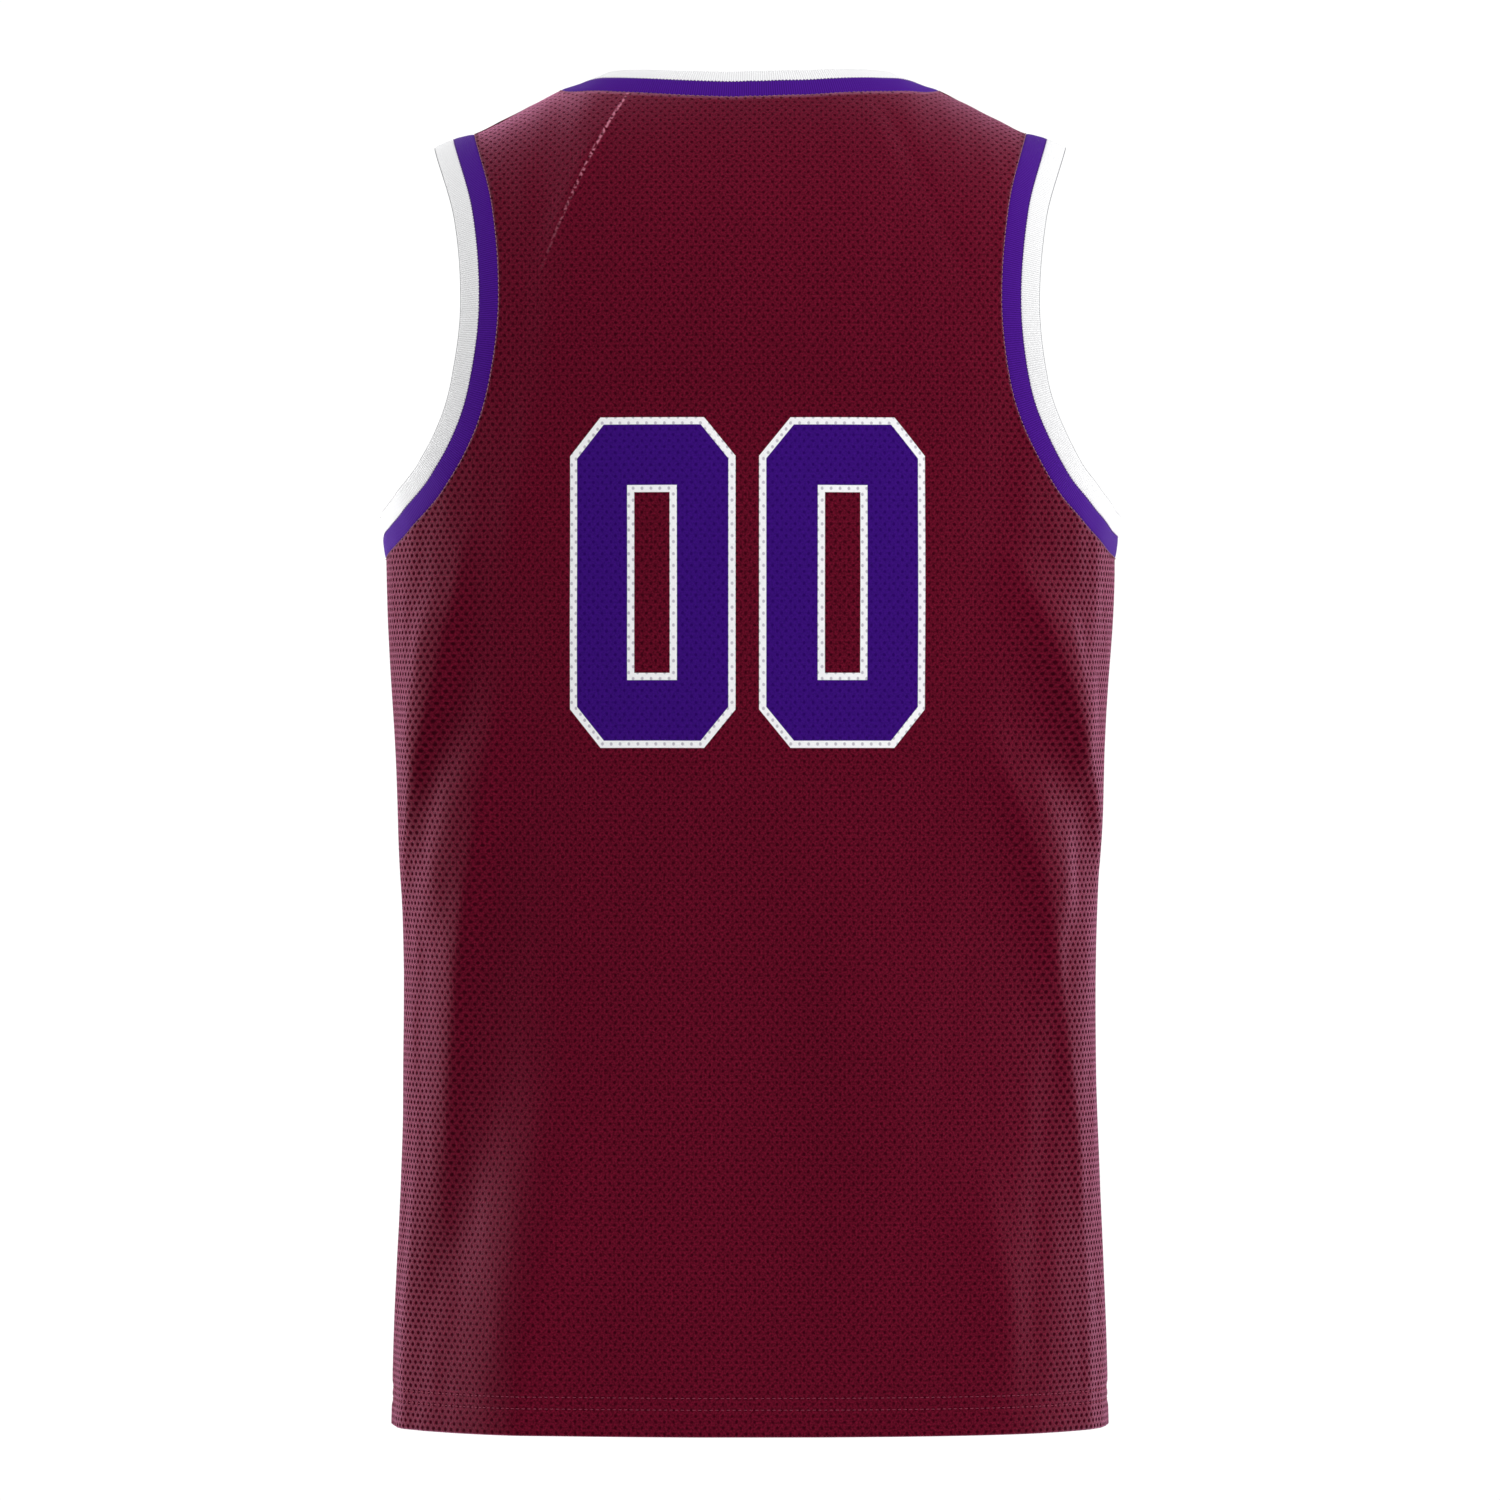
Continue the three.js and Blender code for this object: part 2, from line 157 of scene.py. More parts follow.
def form_point(side, turn, rise):
    level = np.minimum(rise, YOKE_HEIGHT)
    roll = np.clip((rise - YOKE_HEIGHT) / YOKE_ARC, 0, 1) * QUARTER_TURN
    half_width = look_up(SECTIONS, level, HALF_WIDTH)
    depth = look_up(SECTIONS, level, PANELS[side][0])
    power = 2 / SQUARENESS
    across = half_width * np.sign(turn) * np.abs(np.sin(turn)) ** power
    out = depth * np.maximum(0, np.cos(turn)) ** power * np.cos(roll)
    height = level + (shoulder_height(across) - YOKE_HEIGHT) * np.sin(roll)
    return np.stack([across, out, height], axis=-1)


def unit(vectors):
    return vectors / np.linalg.norm(vectors, axis=-1, keepdims=True)


def form_normal(side, turn, rise):
    small_turn, small_rise = 1e-4, 0.02
    turn_from = np.maximum(-QUARTER_TURN, turn - small_turn)
    turn_to = np.minimum(QUARTER_TURN, turn + small_turn)
    rise_to = np.minimum(YOKE_HEIGHT + YOKE_ARC, rise + small_rise)
    along_turn = form_point(side, turn_to, rise) - form_point(side, turn_from, rise)
    along_rise = form_point(side, turn, rise_to) - form_point(side, turn, rise - small_rise)
    return unit(np.cross(along_rise, along_turn))


print("back centre at the chest", form_point("back", np.array(0.0), np.array(-259.0)).round(1))

# %% [markdown]
# ## The folds
# A filled jersey has few folds: long soft ones that fall from the shoulder blades towards the hem,
# and sharper pulls that start below the armholes, where the cloth is drawn round the body. A cloth
# simulation would put them somewhere else on every try, so they are placed one by one. Each fold is a
# soft ridge, or a trough where it stands out by less than nothing. The solids carry the largest, and
# they are repeated here, with one trough on the left cut shorter. The finer folds are the scene's
# own: two old pressing creases on the upper back, a soft wave down the middle, and the hem's ends.

# %% The folds, in millimetres
# Each starts and ends at a distance along the cloth from the centre line and a height. Then come
# half its width, how far it stands out, and the length over which it fades at each end.
FOLDS = {
    "back": np.array([
        (-140, -345, -200, -485, 19, 3.5, 50),
        (-168, -266, -216, -405, 18, 3, 45),
        (-88, -490, -128, -800, 25, 5, 110),
        (-150, -550, -170, -700, 20, -3.5, 70),
        (146, -360, 190, -485, 19, 3.5, 50),
        (150, -262, 206, -375, 18, 3, 45),
        (108, -550, 124, -800, 28, 3.5, 110),
        (0, -370, 16, -720, 24, -2.5, 110),
        (42, -370, 56, -660, 24, 2, 110),
    ]),
    "front": np.array([
        (-96, -330, -150, -800, 27, 4.5, 100),
        (-170, -300, -214, -560, 22, 3.5, 70),
        (-20, -450, -34, -800, 28, -2.5, 120),
        (40, -380, 62, -800, 28, 3, 120),
        (118, -460, 150, -800, 24, -3, 100),
        (150, -310, 222, -620, 24, 4, 80),
    ]),
}
FINE_FOLDS = {
    "back": np.array([
        (-51, -26, -104, -122, 6, 0.8, 30),
        (47, -20, 110, -130, 6, -0.8, 30),
        (4, -380, 12, -780, 30, -2.4, 90),
        (60, -380, 74, -780, 34, 1.6, 100),
        (-100, -380, -112, -570, 24, 1.6, 80),
        (-214, -520, -222, -800, 12, 1.0, 70),
        (206, -560, 214, -800, 12, 1.0, 60),
    ]),
    "front": np.array([
        (-60, -300, -74, -560, 20, 1.0, 90),
        (84, -360, 96, -700, 18, -1.0, 90),
    ]),
}

print("folds in the solids:", sum(map(len, FOLDS.values())))
print("finer folds:", sum(map(len, FINE_FOLDS.values())))

# %% [markdown]
# ## The pulls at the sides
# A pull is sharper than a fold, its crest bends, and its two flanks differ: steep towards the back,
# and long towards the side seam, where it catches the light from the side. A straight fold with one
# width can't do that, so each pull has a table of its own, read as a smooth curve.

# %% The pulls and the slow unevenness, in millimetres
# One table each, from the bottom up. A row is the height, how far along the crest is, how far it
# stands out, and its half width towards the centre line and towards the side seam.
PULLS = {
    "back": [
        np.array([
            (-660, -180, 0, 18, 40), (-600, -172, 5, 18, 40), (-515, -162, 8, 18, 46),
            (-453, -149, 10, 16, 48), (-395, -135, 9, 15, 46), (-350, -126, 4, 15, 36),
            (-315, -120, 0, 15, 30),
        ]),
        np.array([
            (-480, -238, 0, 14, 40), (-430, -222, 4, 14, 40), (-385, -196, 8, 15, 45),
            (-340, -173, 9, 15, 45), (-300, -158, 8, 15, 45), (-268, -150, 4, 15, 40),
            (-235, -144, 0, 15, 30),
        ]),
        np.array([
            (-760, -112, 9, 24, 60), (-700, -102, 11, 24, 56), (-643, -92, 11, 24, 50),
            (-590, -82, 7, 24, 42), (-520, -70, 0, 24, 34),
        ]),
        np.array([
            (-480, 252, 0, 14, 25), (-430, 238, 2.5, 14, 28), (-385, 208, 7, 15, 36),
            (-350, 182, 10, 15, 42), (-315, 159, 10, 15, 45), (-283, 143, 6, 15, 40),
            (-250, 130, 0, 15, 30),
        ]),
        np.array([
            (-650, 212, 0, 18, 35), (-590, 202, 3.5, 18, 36), (-520, 185, 6, 18, 40),
            (-453, 160, 9, 16, 46), (-412, 141, 9, 15, 46), (-378, 126, 5, 15, 38),
            (-345, 116, 0, 15, 30),
        ]),
        np.array([
            (-760, 136, 4, 26, 44), (-689, 128, 5, 26, 44), (-640, 120, 3, 26, 42),
            (-590, 112, 0, 26, 36),
        ]),
    ],
    "front": [
        np.array([
            (-600, 190, 0, 20, 36), (-530, 184, 5, 20, 40), (-455, 166, 7, 18, 44),
            (-400, 150, 6, 16, 44), (-340, 136, 0, 15, 34),
        ]),
        np.array([
            (-420, 212, 0, 16, 36), (-370, 192, 6, 16, 42), (-310, 170, 6, 16, 42),
            (-240, 150, 0, 16, 34),
        ]),
        np.array([
            (-560, -196, 0, 20, 36), (-500, -186, 5, 20, 40), (-430, -164, 7, 18, 44),
            (-380, -150, 6, 16, 44), (-330, -138, 0, 15, 34),
        ]),
        np.array([
            (-410, -216, 0, 16, 34), (-360, -196, 6, 16, 42), (-305, -168, 6, 16, 42),
            (-245, -152, 0, 16, 34),
        ]),
    ],
}
PULL_SHARPNESS = 1.2

# No cloth hangs as true as a formula, so slow waves run all over it. A row is the half waves per
# millimetre along and up, how far the cloth moves out, and where the wave starts.
SWELLS = np.array([
    (0.020, 0.0045, 0.34, 0.4),
    (-0.031, 0.0068, 0.26, 2.1),
    (0.047, -0.0105, 0.20, 4.4),
    (0.011, 0.0170, 0.22, 1.2),
    (-0.072, 0.0140, 0.11, 5.3),
    (0.093, 0.0210, 0.08, 0.9),
])
print("pulls:", {side: len(tables) for side, tables in PULLS.items()}, "waves:", len(SWELLS))


# %% How far all of these move the cloth
def fold_out(folds, along, rise):
    out = np.zeros(np.broadcast(along, rise).shape)
    for from_along, from_height, to_along, to_height, width, stands, fade in folds:
        share = (from_height - rise) / (from_height - to_height)
        centre = from_along + (to_along - from_along) * share
        starts = smooth_step((from_height - rise) / fade)
        ends = smooth_step((rise - to_height) / fade)
        out = out + stands * np.exp(-(((along - centre) / width) ** 2)) * starts * ends
    return out


def pull_out(pulls, along, rise):
    out = np.zeros(np.broadcast(along, rise).shape)
    for table in pulls:
        held = np.clip(rise, table[0, 0], table[-1, 0])
        crest, stands, to_centre, to_seam = (look_up(table, held, column) for column in (1, 2, 3, 4))
        aside = (along - crest) * np.sign(table[0, 1])
        width = np.where(aside > 0, to_seam, to_centre)
        out = out + stands * np.exp(-(np.abs(aside / width) ** PULL_SHARPNESS))
    return out


def swell_out(along, rise):
    out = np.zeros(np.broadcast(along, rise).shape)
    for per_along, per_rise, amount, start in SWELLS:
        out = out + amount * np.sin(math.pi * (per_along * along + per_rise * rise) + start)
    return out


LARGE_CALM, FINE_CALM = 40, 14  # large and fine folds die away this far from a side seam
# Stitching pulls the cloth in: how far, and how far that reaches to each side
SEAM_TUCK, SEAM_TUCK_REACH = 0.7, 3.0
HEM_TUCK, HEM_TUCK_REACH = 0.8, 2.4
HEM_STITCHES = (-731.0, -737.6)


def cloth_at(side, turn, rise):
    """The cloth's outer face and its outward direction, in the jersey's frame, in millimetres."""
    along = turn / QUARTER_TURN * QUARTER_GIRTH
    to_seam = QUARTER_GIRTH - np.abs(along)
    large = fold_out(FOLDS[side], along, rise) + pull_out(PULLS[side], along, rise)
    out = large * smooth_step(to_seam / LARGE_CALM)
    fine = fold_out(FINE_FOLDS[side], along, rise) + swell_out(along, rise)
    out = out + fine * smooth_step(to_seam / FINE_CALM)
    out = out - SEAM_TUCK * np.exp(-((to_seam / SEAM_TUCK_REACH) ** 2))
    for height in HEM_STITCHES:
        out = out - HEM_TUCK * np.exp(-(((rise - height) / HEM_TUCK_REACH) ** 2))
    normal = form_normal(side, turn, rise)
    point = form_point(side, turn, rise) + normal * out[..., None]
    facing = PANELS[side][1]
    point[..., 1] += SEAM_GAP / 2
    turned = np.array([facing, -facing, 1])
    return point * turned, normal * turned


across_back = np.linspace(-QUARTER_GIRTH, QUARTER_GIRTH, 400)[None]
up_back = np.linspace(HEM_HEIGHT, UNDERARM_HEIGHT, 300)[:, None]
print("highest fold", fold_out(FOLDS["back"], across_back, up_back).max().round(1), "mm")
print("highest pull", pull_out(PULLS["back"], across_back, up_back).max().round(1), "mm")

# %% [markdown]
# ## Seams and the grid of a panel
# The armhole and neck seams are curves on the form. Each is divided into even lengths, and the
# panel's rows and columns are drawn between them as a pattern maker would grade a pattern: rows
# level at the hem, bending up to the shoulder, and columns fanning out below the neck.

# %% Divide the seams evenly
NECK_COLUMNS = 40
SHOULDER_COLUMNS = 12
ARMHOLE_ROWS = 84
BODY_ROWS = 132
HEM_ROWS = 12
# Rows sag between the underarms by this much. The powers say how late each change comes: the sag
# towards the seam, the fan of columns towards the top, and the armhole's own steps towards its edge.
UNDERARM_SAG = 34
SAG_POWER = 7
FAN_POWER = 7
EDGE_POWER = 3
TRACE = np.linspace(0, 1, 961)


def turn_at(across, rise):
    half_width = look_up(SECTIONS, np.minimum(rise, YOKE_HEIGHT), HALF_WIDTH)
    return np.arcsin(np.minimum(1, across / half_width) ** (SQUARENESS / 2))


def rise_at(across, height):
    climb = np.clip((height - YOKE_HEIGHT) / (shoulder_height(across) - YOKE_HEIGHT), 0, 1)
    rolled = YOKE_HEIGHT + np.arcsin(climb) / QUARTER_TURN * YOKE_ARC
    return np.where(height <= YOKE_HEIGHT, height, rolled)


def divide_evenly(side, turn, rise, count):
    steps = np.linalg.norm(np.diff(form_point(side, turn, rise), axis=0), axis=1)
    length = np.concatenate([[0], np.cumsum(steps)])
    wanted = np.linspace(0, length[-1], count + 1)
    return np.interp(wanted, length, turn), np.interp(wanted, length, rise)


def armhole_seam(side):
    """From the underarm up to the shoulder."""
    tip = ARMHOLE_SEAM[-1, 1]
    scoop = FRONT_ARMHOLE_SCOOP if side == "front" else 0
    eased = (1 - np.cos(math.pi * TRACE)) / 2
    height = UNDERARM_HEIGHT + (shoulder_height(tip) - UNDERARM_HEIGHT) * eased
    across = look_up(ARMHOLE_SEAM, height) - scoop * np.sin(math.pi * eased) ** 2
    turn, rise = turn_at(across, height), rise_at(across, height)
    turn[-1], rise[-1] = turn_at(tip, YOKE_HEIGHT), YOKE_HEIGHT + YOKE_ARC
    return divide_evenly(side, turn, rise, ARMHOLE_ROWS)


def neck_seam(side):
    """Half of a panel's neck seam, from the centre line to the shoulder line."""
    across = NECK_HALF_WIDTH * np.sin(TRACE * QUARTER_TURN)
    turn = turn_at(across, YOKE_HEIGHT)
    inside = np.maximum(0, 1 - (across / NECK_HALF_WIDTH) ** 2)
    if side == "back":
        out = NECK_REACH_BACK * inside ** NECK_BACK_ROUND
        roll = np.arccos(out / form_point(side, turn, np.full_like(turn, YOKE_HEIGHT))[:, 1])
        rise = YOKE_HEIGHT + roll / QUARTER_TURN * YOKE_ARC
    else:
        height = shoulder_height(NECK_HALF_WIDTH) - NECK_DROP_FRONT * inside ** NECK_FRONT_ROUND
        rise = rise_at(across, height)
    rise[-1] = YOKE_HEIGHT + YOKE_ARC
    return divide_evenly(side, turn, rise, NECK_COLUMNS)


print("points along a neck seam, from centre to shoulder:", len(neck_seam("back")[0]))


# %% Lay out a panel's rows and columns
def panel_places(side):
    """The turn and rise of every grid point, in rows from the hem to the top edge."""
    seam_turn, seam_rise = armhole_seam(side)
    tip_turn, top_rise = seam_turn[-1], YOKE_HEIGHT + YOKE_ARC
    neck_turn, neck_rise = neck_seam(side)
    shoulder = np.linspace(neck_turn[-1], tip_turn, SHOULDER_COLUMNS + 1)[1:]
    half_turn = np.concatenate([neck_turn, shoulder])
    half_rise = np.concatenate([neck_rise, np.full(SHOULDER_COLUMNS, top_rise)])
    top_turn = np.concatenate([-half_turn[:0:-1], half_turn])
    top = np.concatenate([half_rise[:0:-1], half_rise])
    column = np.linspace(-1, 1, len(top_turn))

    def sag(share):
        return UNDERARM_SAG * (1 - np.abs(column) ** SAG_POWER) * share ** 2

    rows = []
    hem_top = HEM_HEIGHT + HEM_DEPTH
    body_start = hem_top + HEM_STEP
    for height in np.linspace(HEM_HEIGHT, hem_top, HEM_ROWS):
        rows.append((column * QUARTER_TURN, np.full_like(column, height)))
    for share in np.arange(BODY_ROWS) / BODY_ROWS:
        height = body_start + (UNDERARM_HEIGHT - body_start) * share
        rows.append((column * QUARTER_TURN, height - sag(share)))
    for row in range(ARMHOLE_ROWS + 1):
        up = row / ARMHOLE_ROWS
        edge_up = (seam_rise[row] - UNDERARM_HEIGHT) / (top_rise - UNDERARM_HEIGHT)
        near_edge = np.abs(column) ** EDGE_POWER
        upright = top_turn + (seam_turn[row] - tip_turn) * np.sign(column) * near_edge
        climb = (top - UNDERARM_HEIGHT) * (up + (edge_up - up) * near_edge)
        level = column * seam_turn[row]
        turn = level + (upright - level) * up ** FAN_POWER
        rows.append((turn, UNDERARM_HEIGHT + climb - sag(1 - up)))
    return np.array([row[0] for row in rows]), np.array([row[1] for row in rows])


places = {side: panel_places(side) for side in PANELS}
faces = {side: cloth_at(side, *places[side]) for side in PANELS}
print("grid of a panel:", places["back"][0].shape)

# %% [markdown]
# ## Cloth coordinates
# Mesh knit has its holes at even distances along the cloth, however the cloth bends. So each point
# also gets its place on the flat cloth: its distance from the centre line and up from the waist, in
# metres. The holes and the numbers are drawn in these coordinates. Blender's own unwrapping would
# need a relaxation and give slightly different holes each time, while here the form is known.

# %% Measure the flat cloth
ROLL_STEPS = 32
ARC_STEPS = 40


def cloth_coordinates(side, turn, rise):
    below = np.minimum(rise, YOKE_HEIGHT)
    level = np.zeros_like(turn)
    for step in range(ARC_STEPS):
        before, after = turn * step / ARC_STEPS, turn * (step + 1) / ARC_STEPS
        stride = form_point(side, after, below) - form_point(side, before, below)
        level += np.sign(turn) * np.linalg.norm(stride, axis=-1)
    depth = look_up(SECTIONS, YOKE_HEIGHT, PANELS[side][0])
    across = form_point(side, turn, below)[..., 0]
    roll = np.clip((rise - YOKE_HEIGHT) / YOKE_ARC, 0, 1) * QUARTER_TURN
    along = across + (level - across) * np.cos(roll)
    out = depth * np.maximum(0, np.cos(turn)) ** (2 / SQUARENESS)
    tall = shoulder_height(across) - YOKE_HEIGHT
    climbed = np.zeros_like(roll)
    for step in range(ROLL_STEPS):
        part = roll * (step + 0.5) / ROLL_STEPS
        climbed += np.hypot(out * np.sin(part), tall * np.cos(part)) * roll / ROLL_STEPS
    return np.stack([along, np.minimum(rise, YOKE_HEIGHT) + climbed], axis=-1)


flat = {side: cloth_coordinates(side, *places[side]) for side in PANELS}
low, high = (pick(flat["back"], axis=(0, 1)).round() for pick in (np.min, np.max))
print("flat back panel, mm: from", low, "to", high)

# %% [markdown]
# ## Finishes: a small helper
# A node tree is easier to read as a sum than as boxes and wires. The class below wraps one socket
# and lets Python's operators add the Math nodes. Everything else goes through one method that makes
# a node of any kind.


# %% A socket that can be reckoned with
class Reading:
    """A value that varies over a surface: one output of a finish's node tree."""

    def __init__(self, finish, socket):
        self.finish, self.socket = finish, socket

    def reckon(self, operation, *others, turned=False):
        values = (self,) + others
        if turned:
            values = values[::-1]
        return self.finish.node("ShaderNodeMath", {"operation": operation}, dict(enumerate(values)))

    def __add__(self, other):
        return self.reckon("ADD", other)

    def __sub__(self, other):
        return self.reckon("SUBTRACT", other)

    def __rsub__(self, other):
        return self.reckon("SUBTRACT", other, turned=True)

    def __mul__(self, other):
        return self.reckon("MULTIPLY", other)

    def __truediv__(self, other):
        return self.reckon("DIVIDE", other)

    def __mod__(self, other):
        return self.reckon("FLOORED_MODULO", other)

    def __abs__(self):
        return self.reckon("ABSOLUTE")

    __radd__, __rmul__ = __add__, __mul__

    def floor(self):
        return self.reckon("FLOOR")

    def fraction(self):
        return self.reckon("FRACT")

    def sine(self):
        return self.reckon("SINE")

    def root(self):
        return self.reckon("SQRT")

    def larger(self, other):
        return self.reckon("MAXIMUM", other)

    def smaller(self, other):
        return self.reckon("MINIMUM", other)

    def rising(self, low, high):
        """0 below low, 1 above high, and a soft step between."""
        return self.finish.node(
            "ShaderNodeMapRange",
            {"interpolation_type": "SMOOTHSTEP"},
            {"Value": self, "From Min": low, "From Max": high},
        )


class Nodes:
    """A node tree: its nodes are added by kind, with settings first and sockets second."""

    def __init__(self, tree):
        self.tree = tree

    def node(self, kind, settings=None, sockets=None, output=0):
        node = self.tree.nodes.new(kind)
        for name, value in (settings or {}).items():
            setattr(node, name, value)
        for name, value in (sockets or {}).items():
            if isinstance(value, Reading):
                self.tree.links.new(value.socket, node.inputs[name])
            else:
                node.inputs[name].default_value = value
        return Reading(self, node.outputs[output])

    def show(self, reading, place):
        """Makes a reading the surface of the material's or the world's output node."""
        self.tree.links.new(reading.socket, self.tree.nodes[place].inputs["Surface"])


class Finish(Nodes):
    """One material, with its shader's constant sockets set by name."""

    def __init__(self, name, **shader):
        self.material = bpy.data.materials.new(name)
        self.material.use_nodes = True
        super().__init__(self.material.node_tree)
        self.shader = self.tree.nodes["Principled BSDF"]
        for socket, value in shader.items():
            self.shader.inputs[socket.replace("_", " ")].default_value = value

    def mix(self, share, one, other):
        """A colour between two others."""
        settings = {"data_type": "RGBA"}
        return self.node("ShaderNodeMix", settings, {0: share, 6: one, 7: other}, output=2)

    def sunk(self, share, colour):
        """Where share is 1, the surface is the dull bottom of a hole instead, with no sheen, in a
        colour of painted shade.
        """
        bottom = self.node("ShaderNodeBsdfPrincipled", {},
                           {"Base Color": colour, "Roughness": 1.0, "Specular IOR Level": 0.0})
        top = Reading(self, self.shader.outputs[0])
        both = self.node("ShaderNodeMixShader", {}, {0: share, 1: top, 2: bottom})
        self.show(both, "Material Output")

    def noise(self, place, scale, detail=2.0):
        sockets = {"Vector": place, "Scale": scale, "Detail": detail}
        return self.node("ShaderNodeTexNoise", {}, sockets)

    def cloth_place(self):
        """Along and up the flat cloth, in millimetres, and the same as a vector."""
        place = self.node("ShaderNodeUVMap", {"uv_map": "cloth"})
        split = self.node("ShaderNodeSeparateXYZ", {}, {0: place})
        up = Reading(self, split.socket.node.outputs[1])
        return split / MM, up / MM, place

    def feed(self, **sockets):
        for name, value in sockets.items():
            self.tree.links.new(value.socket, self.shader.inputs[name.replace("_", " ")])

    def relief(self, height, distance, strength=1.0):
        """Bump from a height of 0 to 1 that stands for this distance in metres."""
        sockets = {"Height": height, "Distance": distance, "Strength": strength}
        self.feed(Normal=self.node("ShaderNodeBump", {}, sockets))


def paint(red, green, blue):
    """A colour as a screen shows it, 0 to 255, turned into light."""
    def light(value):
        value = value / 255
        return value / 12.92 if value <= 0.04045 else ((value + 0.055) / 1.055) ** 2.4
    return (light(red), light(green), light(blue), 1.0)


print("maroon as light:", [round(v, 4) for v in paint(90, 14, 34)])

# %% [markdown]
# ## Mesh knit
# The knit has pinholes in a diamond lattice: 5.05 mm apart along a row, with rows 3.33 mm apart and
# each row shifted by half a hole. Cutting a hundred thousand real holes would bury the form, so the
# holes are shading: the bump sinks them a little, and a second, dull shader is mixed in, because
# the bottom of a hole has none of the cloth's sheen. Its colour is painted shade: the dark inside of
# the jersey, seen through the hole. Between them runs the fine grain of the knit.

# %% The lattice of pinholes
HOLE_SPACING = 5.05
HOLE_ROW = 3.33
HOLE_HALF_WIDTH = 0.8
HOLE_HALF_HEIGHT = 0.92
HOLE_EDGE = (0.55, 1.45)  # a hole fades out between these shares of its half size
# The lattice is never quite true: how coarse its wander is, and how far it goes along and up
WANDER_SCALE, WANDER_ALONG, WANDER_UP = 260.0, 0.5, 0.35
# Towards the sides the knit is pulled round the body, so its holes stand wider open
STRETCHED_FROM_TO = (110, 220)
STRETCHED_WIDER = 0.6
STRETCHED_TALLER = 0.2
OPEN_IN_MIDDLE = 0.78
# The knit's loops and the finer fuzz between them
LOOP_LENGTH, LOOP_HEIGHT, LOOP_SHARE = 0.84, 0.62, 0.25
GRAIN_SCALE = 860.0


def pinholes(finish, along, up, place):
    wander = finish.noise(place, WANDER_SCALE) - 0.5
    along, up = along + wander * WANDER_ALONG, up + wander * WANDER_UP
    row = (up / HOLE_ROW).floor()
    stretched = abs(along).rising(*STRETCHED_FROM_TO)
    aside = ((along / HOLE_SPACING + (row % 2) * 0.5).fraction() - 0.5) * HOLE_SPACING
    aside = aside / (HOLE_HALF_WIDTH + stretched * STRETCHED_WIDER)
    above = ((up / HOLE_ROW).fraction() - 0.5) * HOLE_ROW
    above = above / (HOLE_HALF_HEIGHT + stretched * STRETCHED_TALLER)
    open_here = 1 - (aside * aside + above * above).root().rising(*HOLE_EDGE)
    return open_here * (OPEN_IN_MIDDLE + stretched * (1 - OPEN_IN_MIDDLE))


def knit_grain(finish, along, up, place):
    loops = (along * (FULL_TURN / LOOP_LENGTH)).sine() * (up * (FULL_TURN / LOOP_HEIGHT)).sine()
    return loops * LOOP_SHARE + finish.noise(place, GRAIN_SCALE, 3.0)


panel_area = QUARTER_GIRTH * 2 * -HEM_HEIGHT
print("pinholes in a panel, about:", round(panel_area / (HOLE_SPACING * HOLE_ROW), -2))

# %% [markdown]
# ## The printed numbers
# Two plain block zeros stand on the back panel. The ink goes into the cloth, so it adds no relief,
# and the holes show through it, plainly in the white outline and faintly in the purple. A zero is a
# block with its corners cut off, less a smaller block, so its masks are distances to blocks. A text
# object would be sharper than cloth ever prints, and would float on it.

# %% The shape of a printed zero
ZERO_HALF_WIDTH = 46.9
ZERO_HALF_HEIGHT = 92.6
ZERO_CORNER_ACROSS = 17.6
ZERO_CORNER_UP = 21.6
ZERO_OUTLINE = 4.0
COUNTER_HALF_WIDTH = 14.0
COUNTER_HALF_HEIGHT = 54.6
ZERO_APART = 53.5  # from the middle between the two zeros to the middle of each
ZEROS_ACROSS = -1.5
ZEROS_UP = -274.2
INK_BLEED = 0.18


def beyond_block(across, up, half_width, half_height, corner=None):
    """How far outside a block a place is, in millimetres. Its corners may be cut off."""
    outside = (across - half_width).larger(up - half_height)
    if corner is None:
        return outside
    wide, tall = corner
    cut = (across - (half_width - wide)) * tall + (up - (half_height - tall)) * wide - wide * tall
    return outside.larger(cut / math.hypot(wide, tall))


def number_masks(along, up):
    """Where the ink is at all, and where it is purple."""
    across = abs(abs(along - ZEROS_ACROSS) - ZERO_APART)
    tall = abs(up - ZEROS_UP)
    corner = (ZERO_CORNER_ACROSS, ZERO_CORNER_UP)
    outer = beyond_block(across, tall, ZERO_HALF_WIDTH, ZERO_HALF_HEIGHT, corner)
    counter = beyond_block(across, tall, COUNTER_HALF_WIDTH, COUNTER_HALF_HEIGHT)
    edge = (-INK_BLEED, INK_BLEED)
    inked = (1 - outer.rising(*edge)) * (counter + ZERO_OUTLINE).rising(*edge)
    purple = (1 - (outer + ZERO_OUTLINE).rising(*edge)) * counter.rising(*edge)
    return inked, purple


print("a zero is", 2 * ZERO_HALF_WIDTH, "by", 2 * ZERO_HALF_HEIGHT, "mm")

# %% [markdown]
# ## The pressed crease
# On the left of the upper back a crease was pressed in while the jersey lay folded. Its ridge is one
# of the finer folds. A painted highlight, a thin broken pale line, follows its top, clear near the
# neck and fading out below. The line is drawn in cloth coordinates, between the fold's own ends.

# %% A pressed crease and its painted highlight, as a line on the flat cloth
CREASE = FINE_FOLDS["back"][0, :4].reshape(2, 2)  # along and rise where it starts and ends
CREASE_EDGE = (0.2, 1.3)
CREASE_BREAK_SCALE, CREASE_BREAKS = 420.0, (0.38, 0.62)
CREASE_FADE = (0.25, 1.0)  # shares of its length between which it fades out


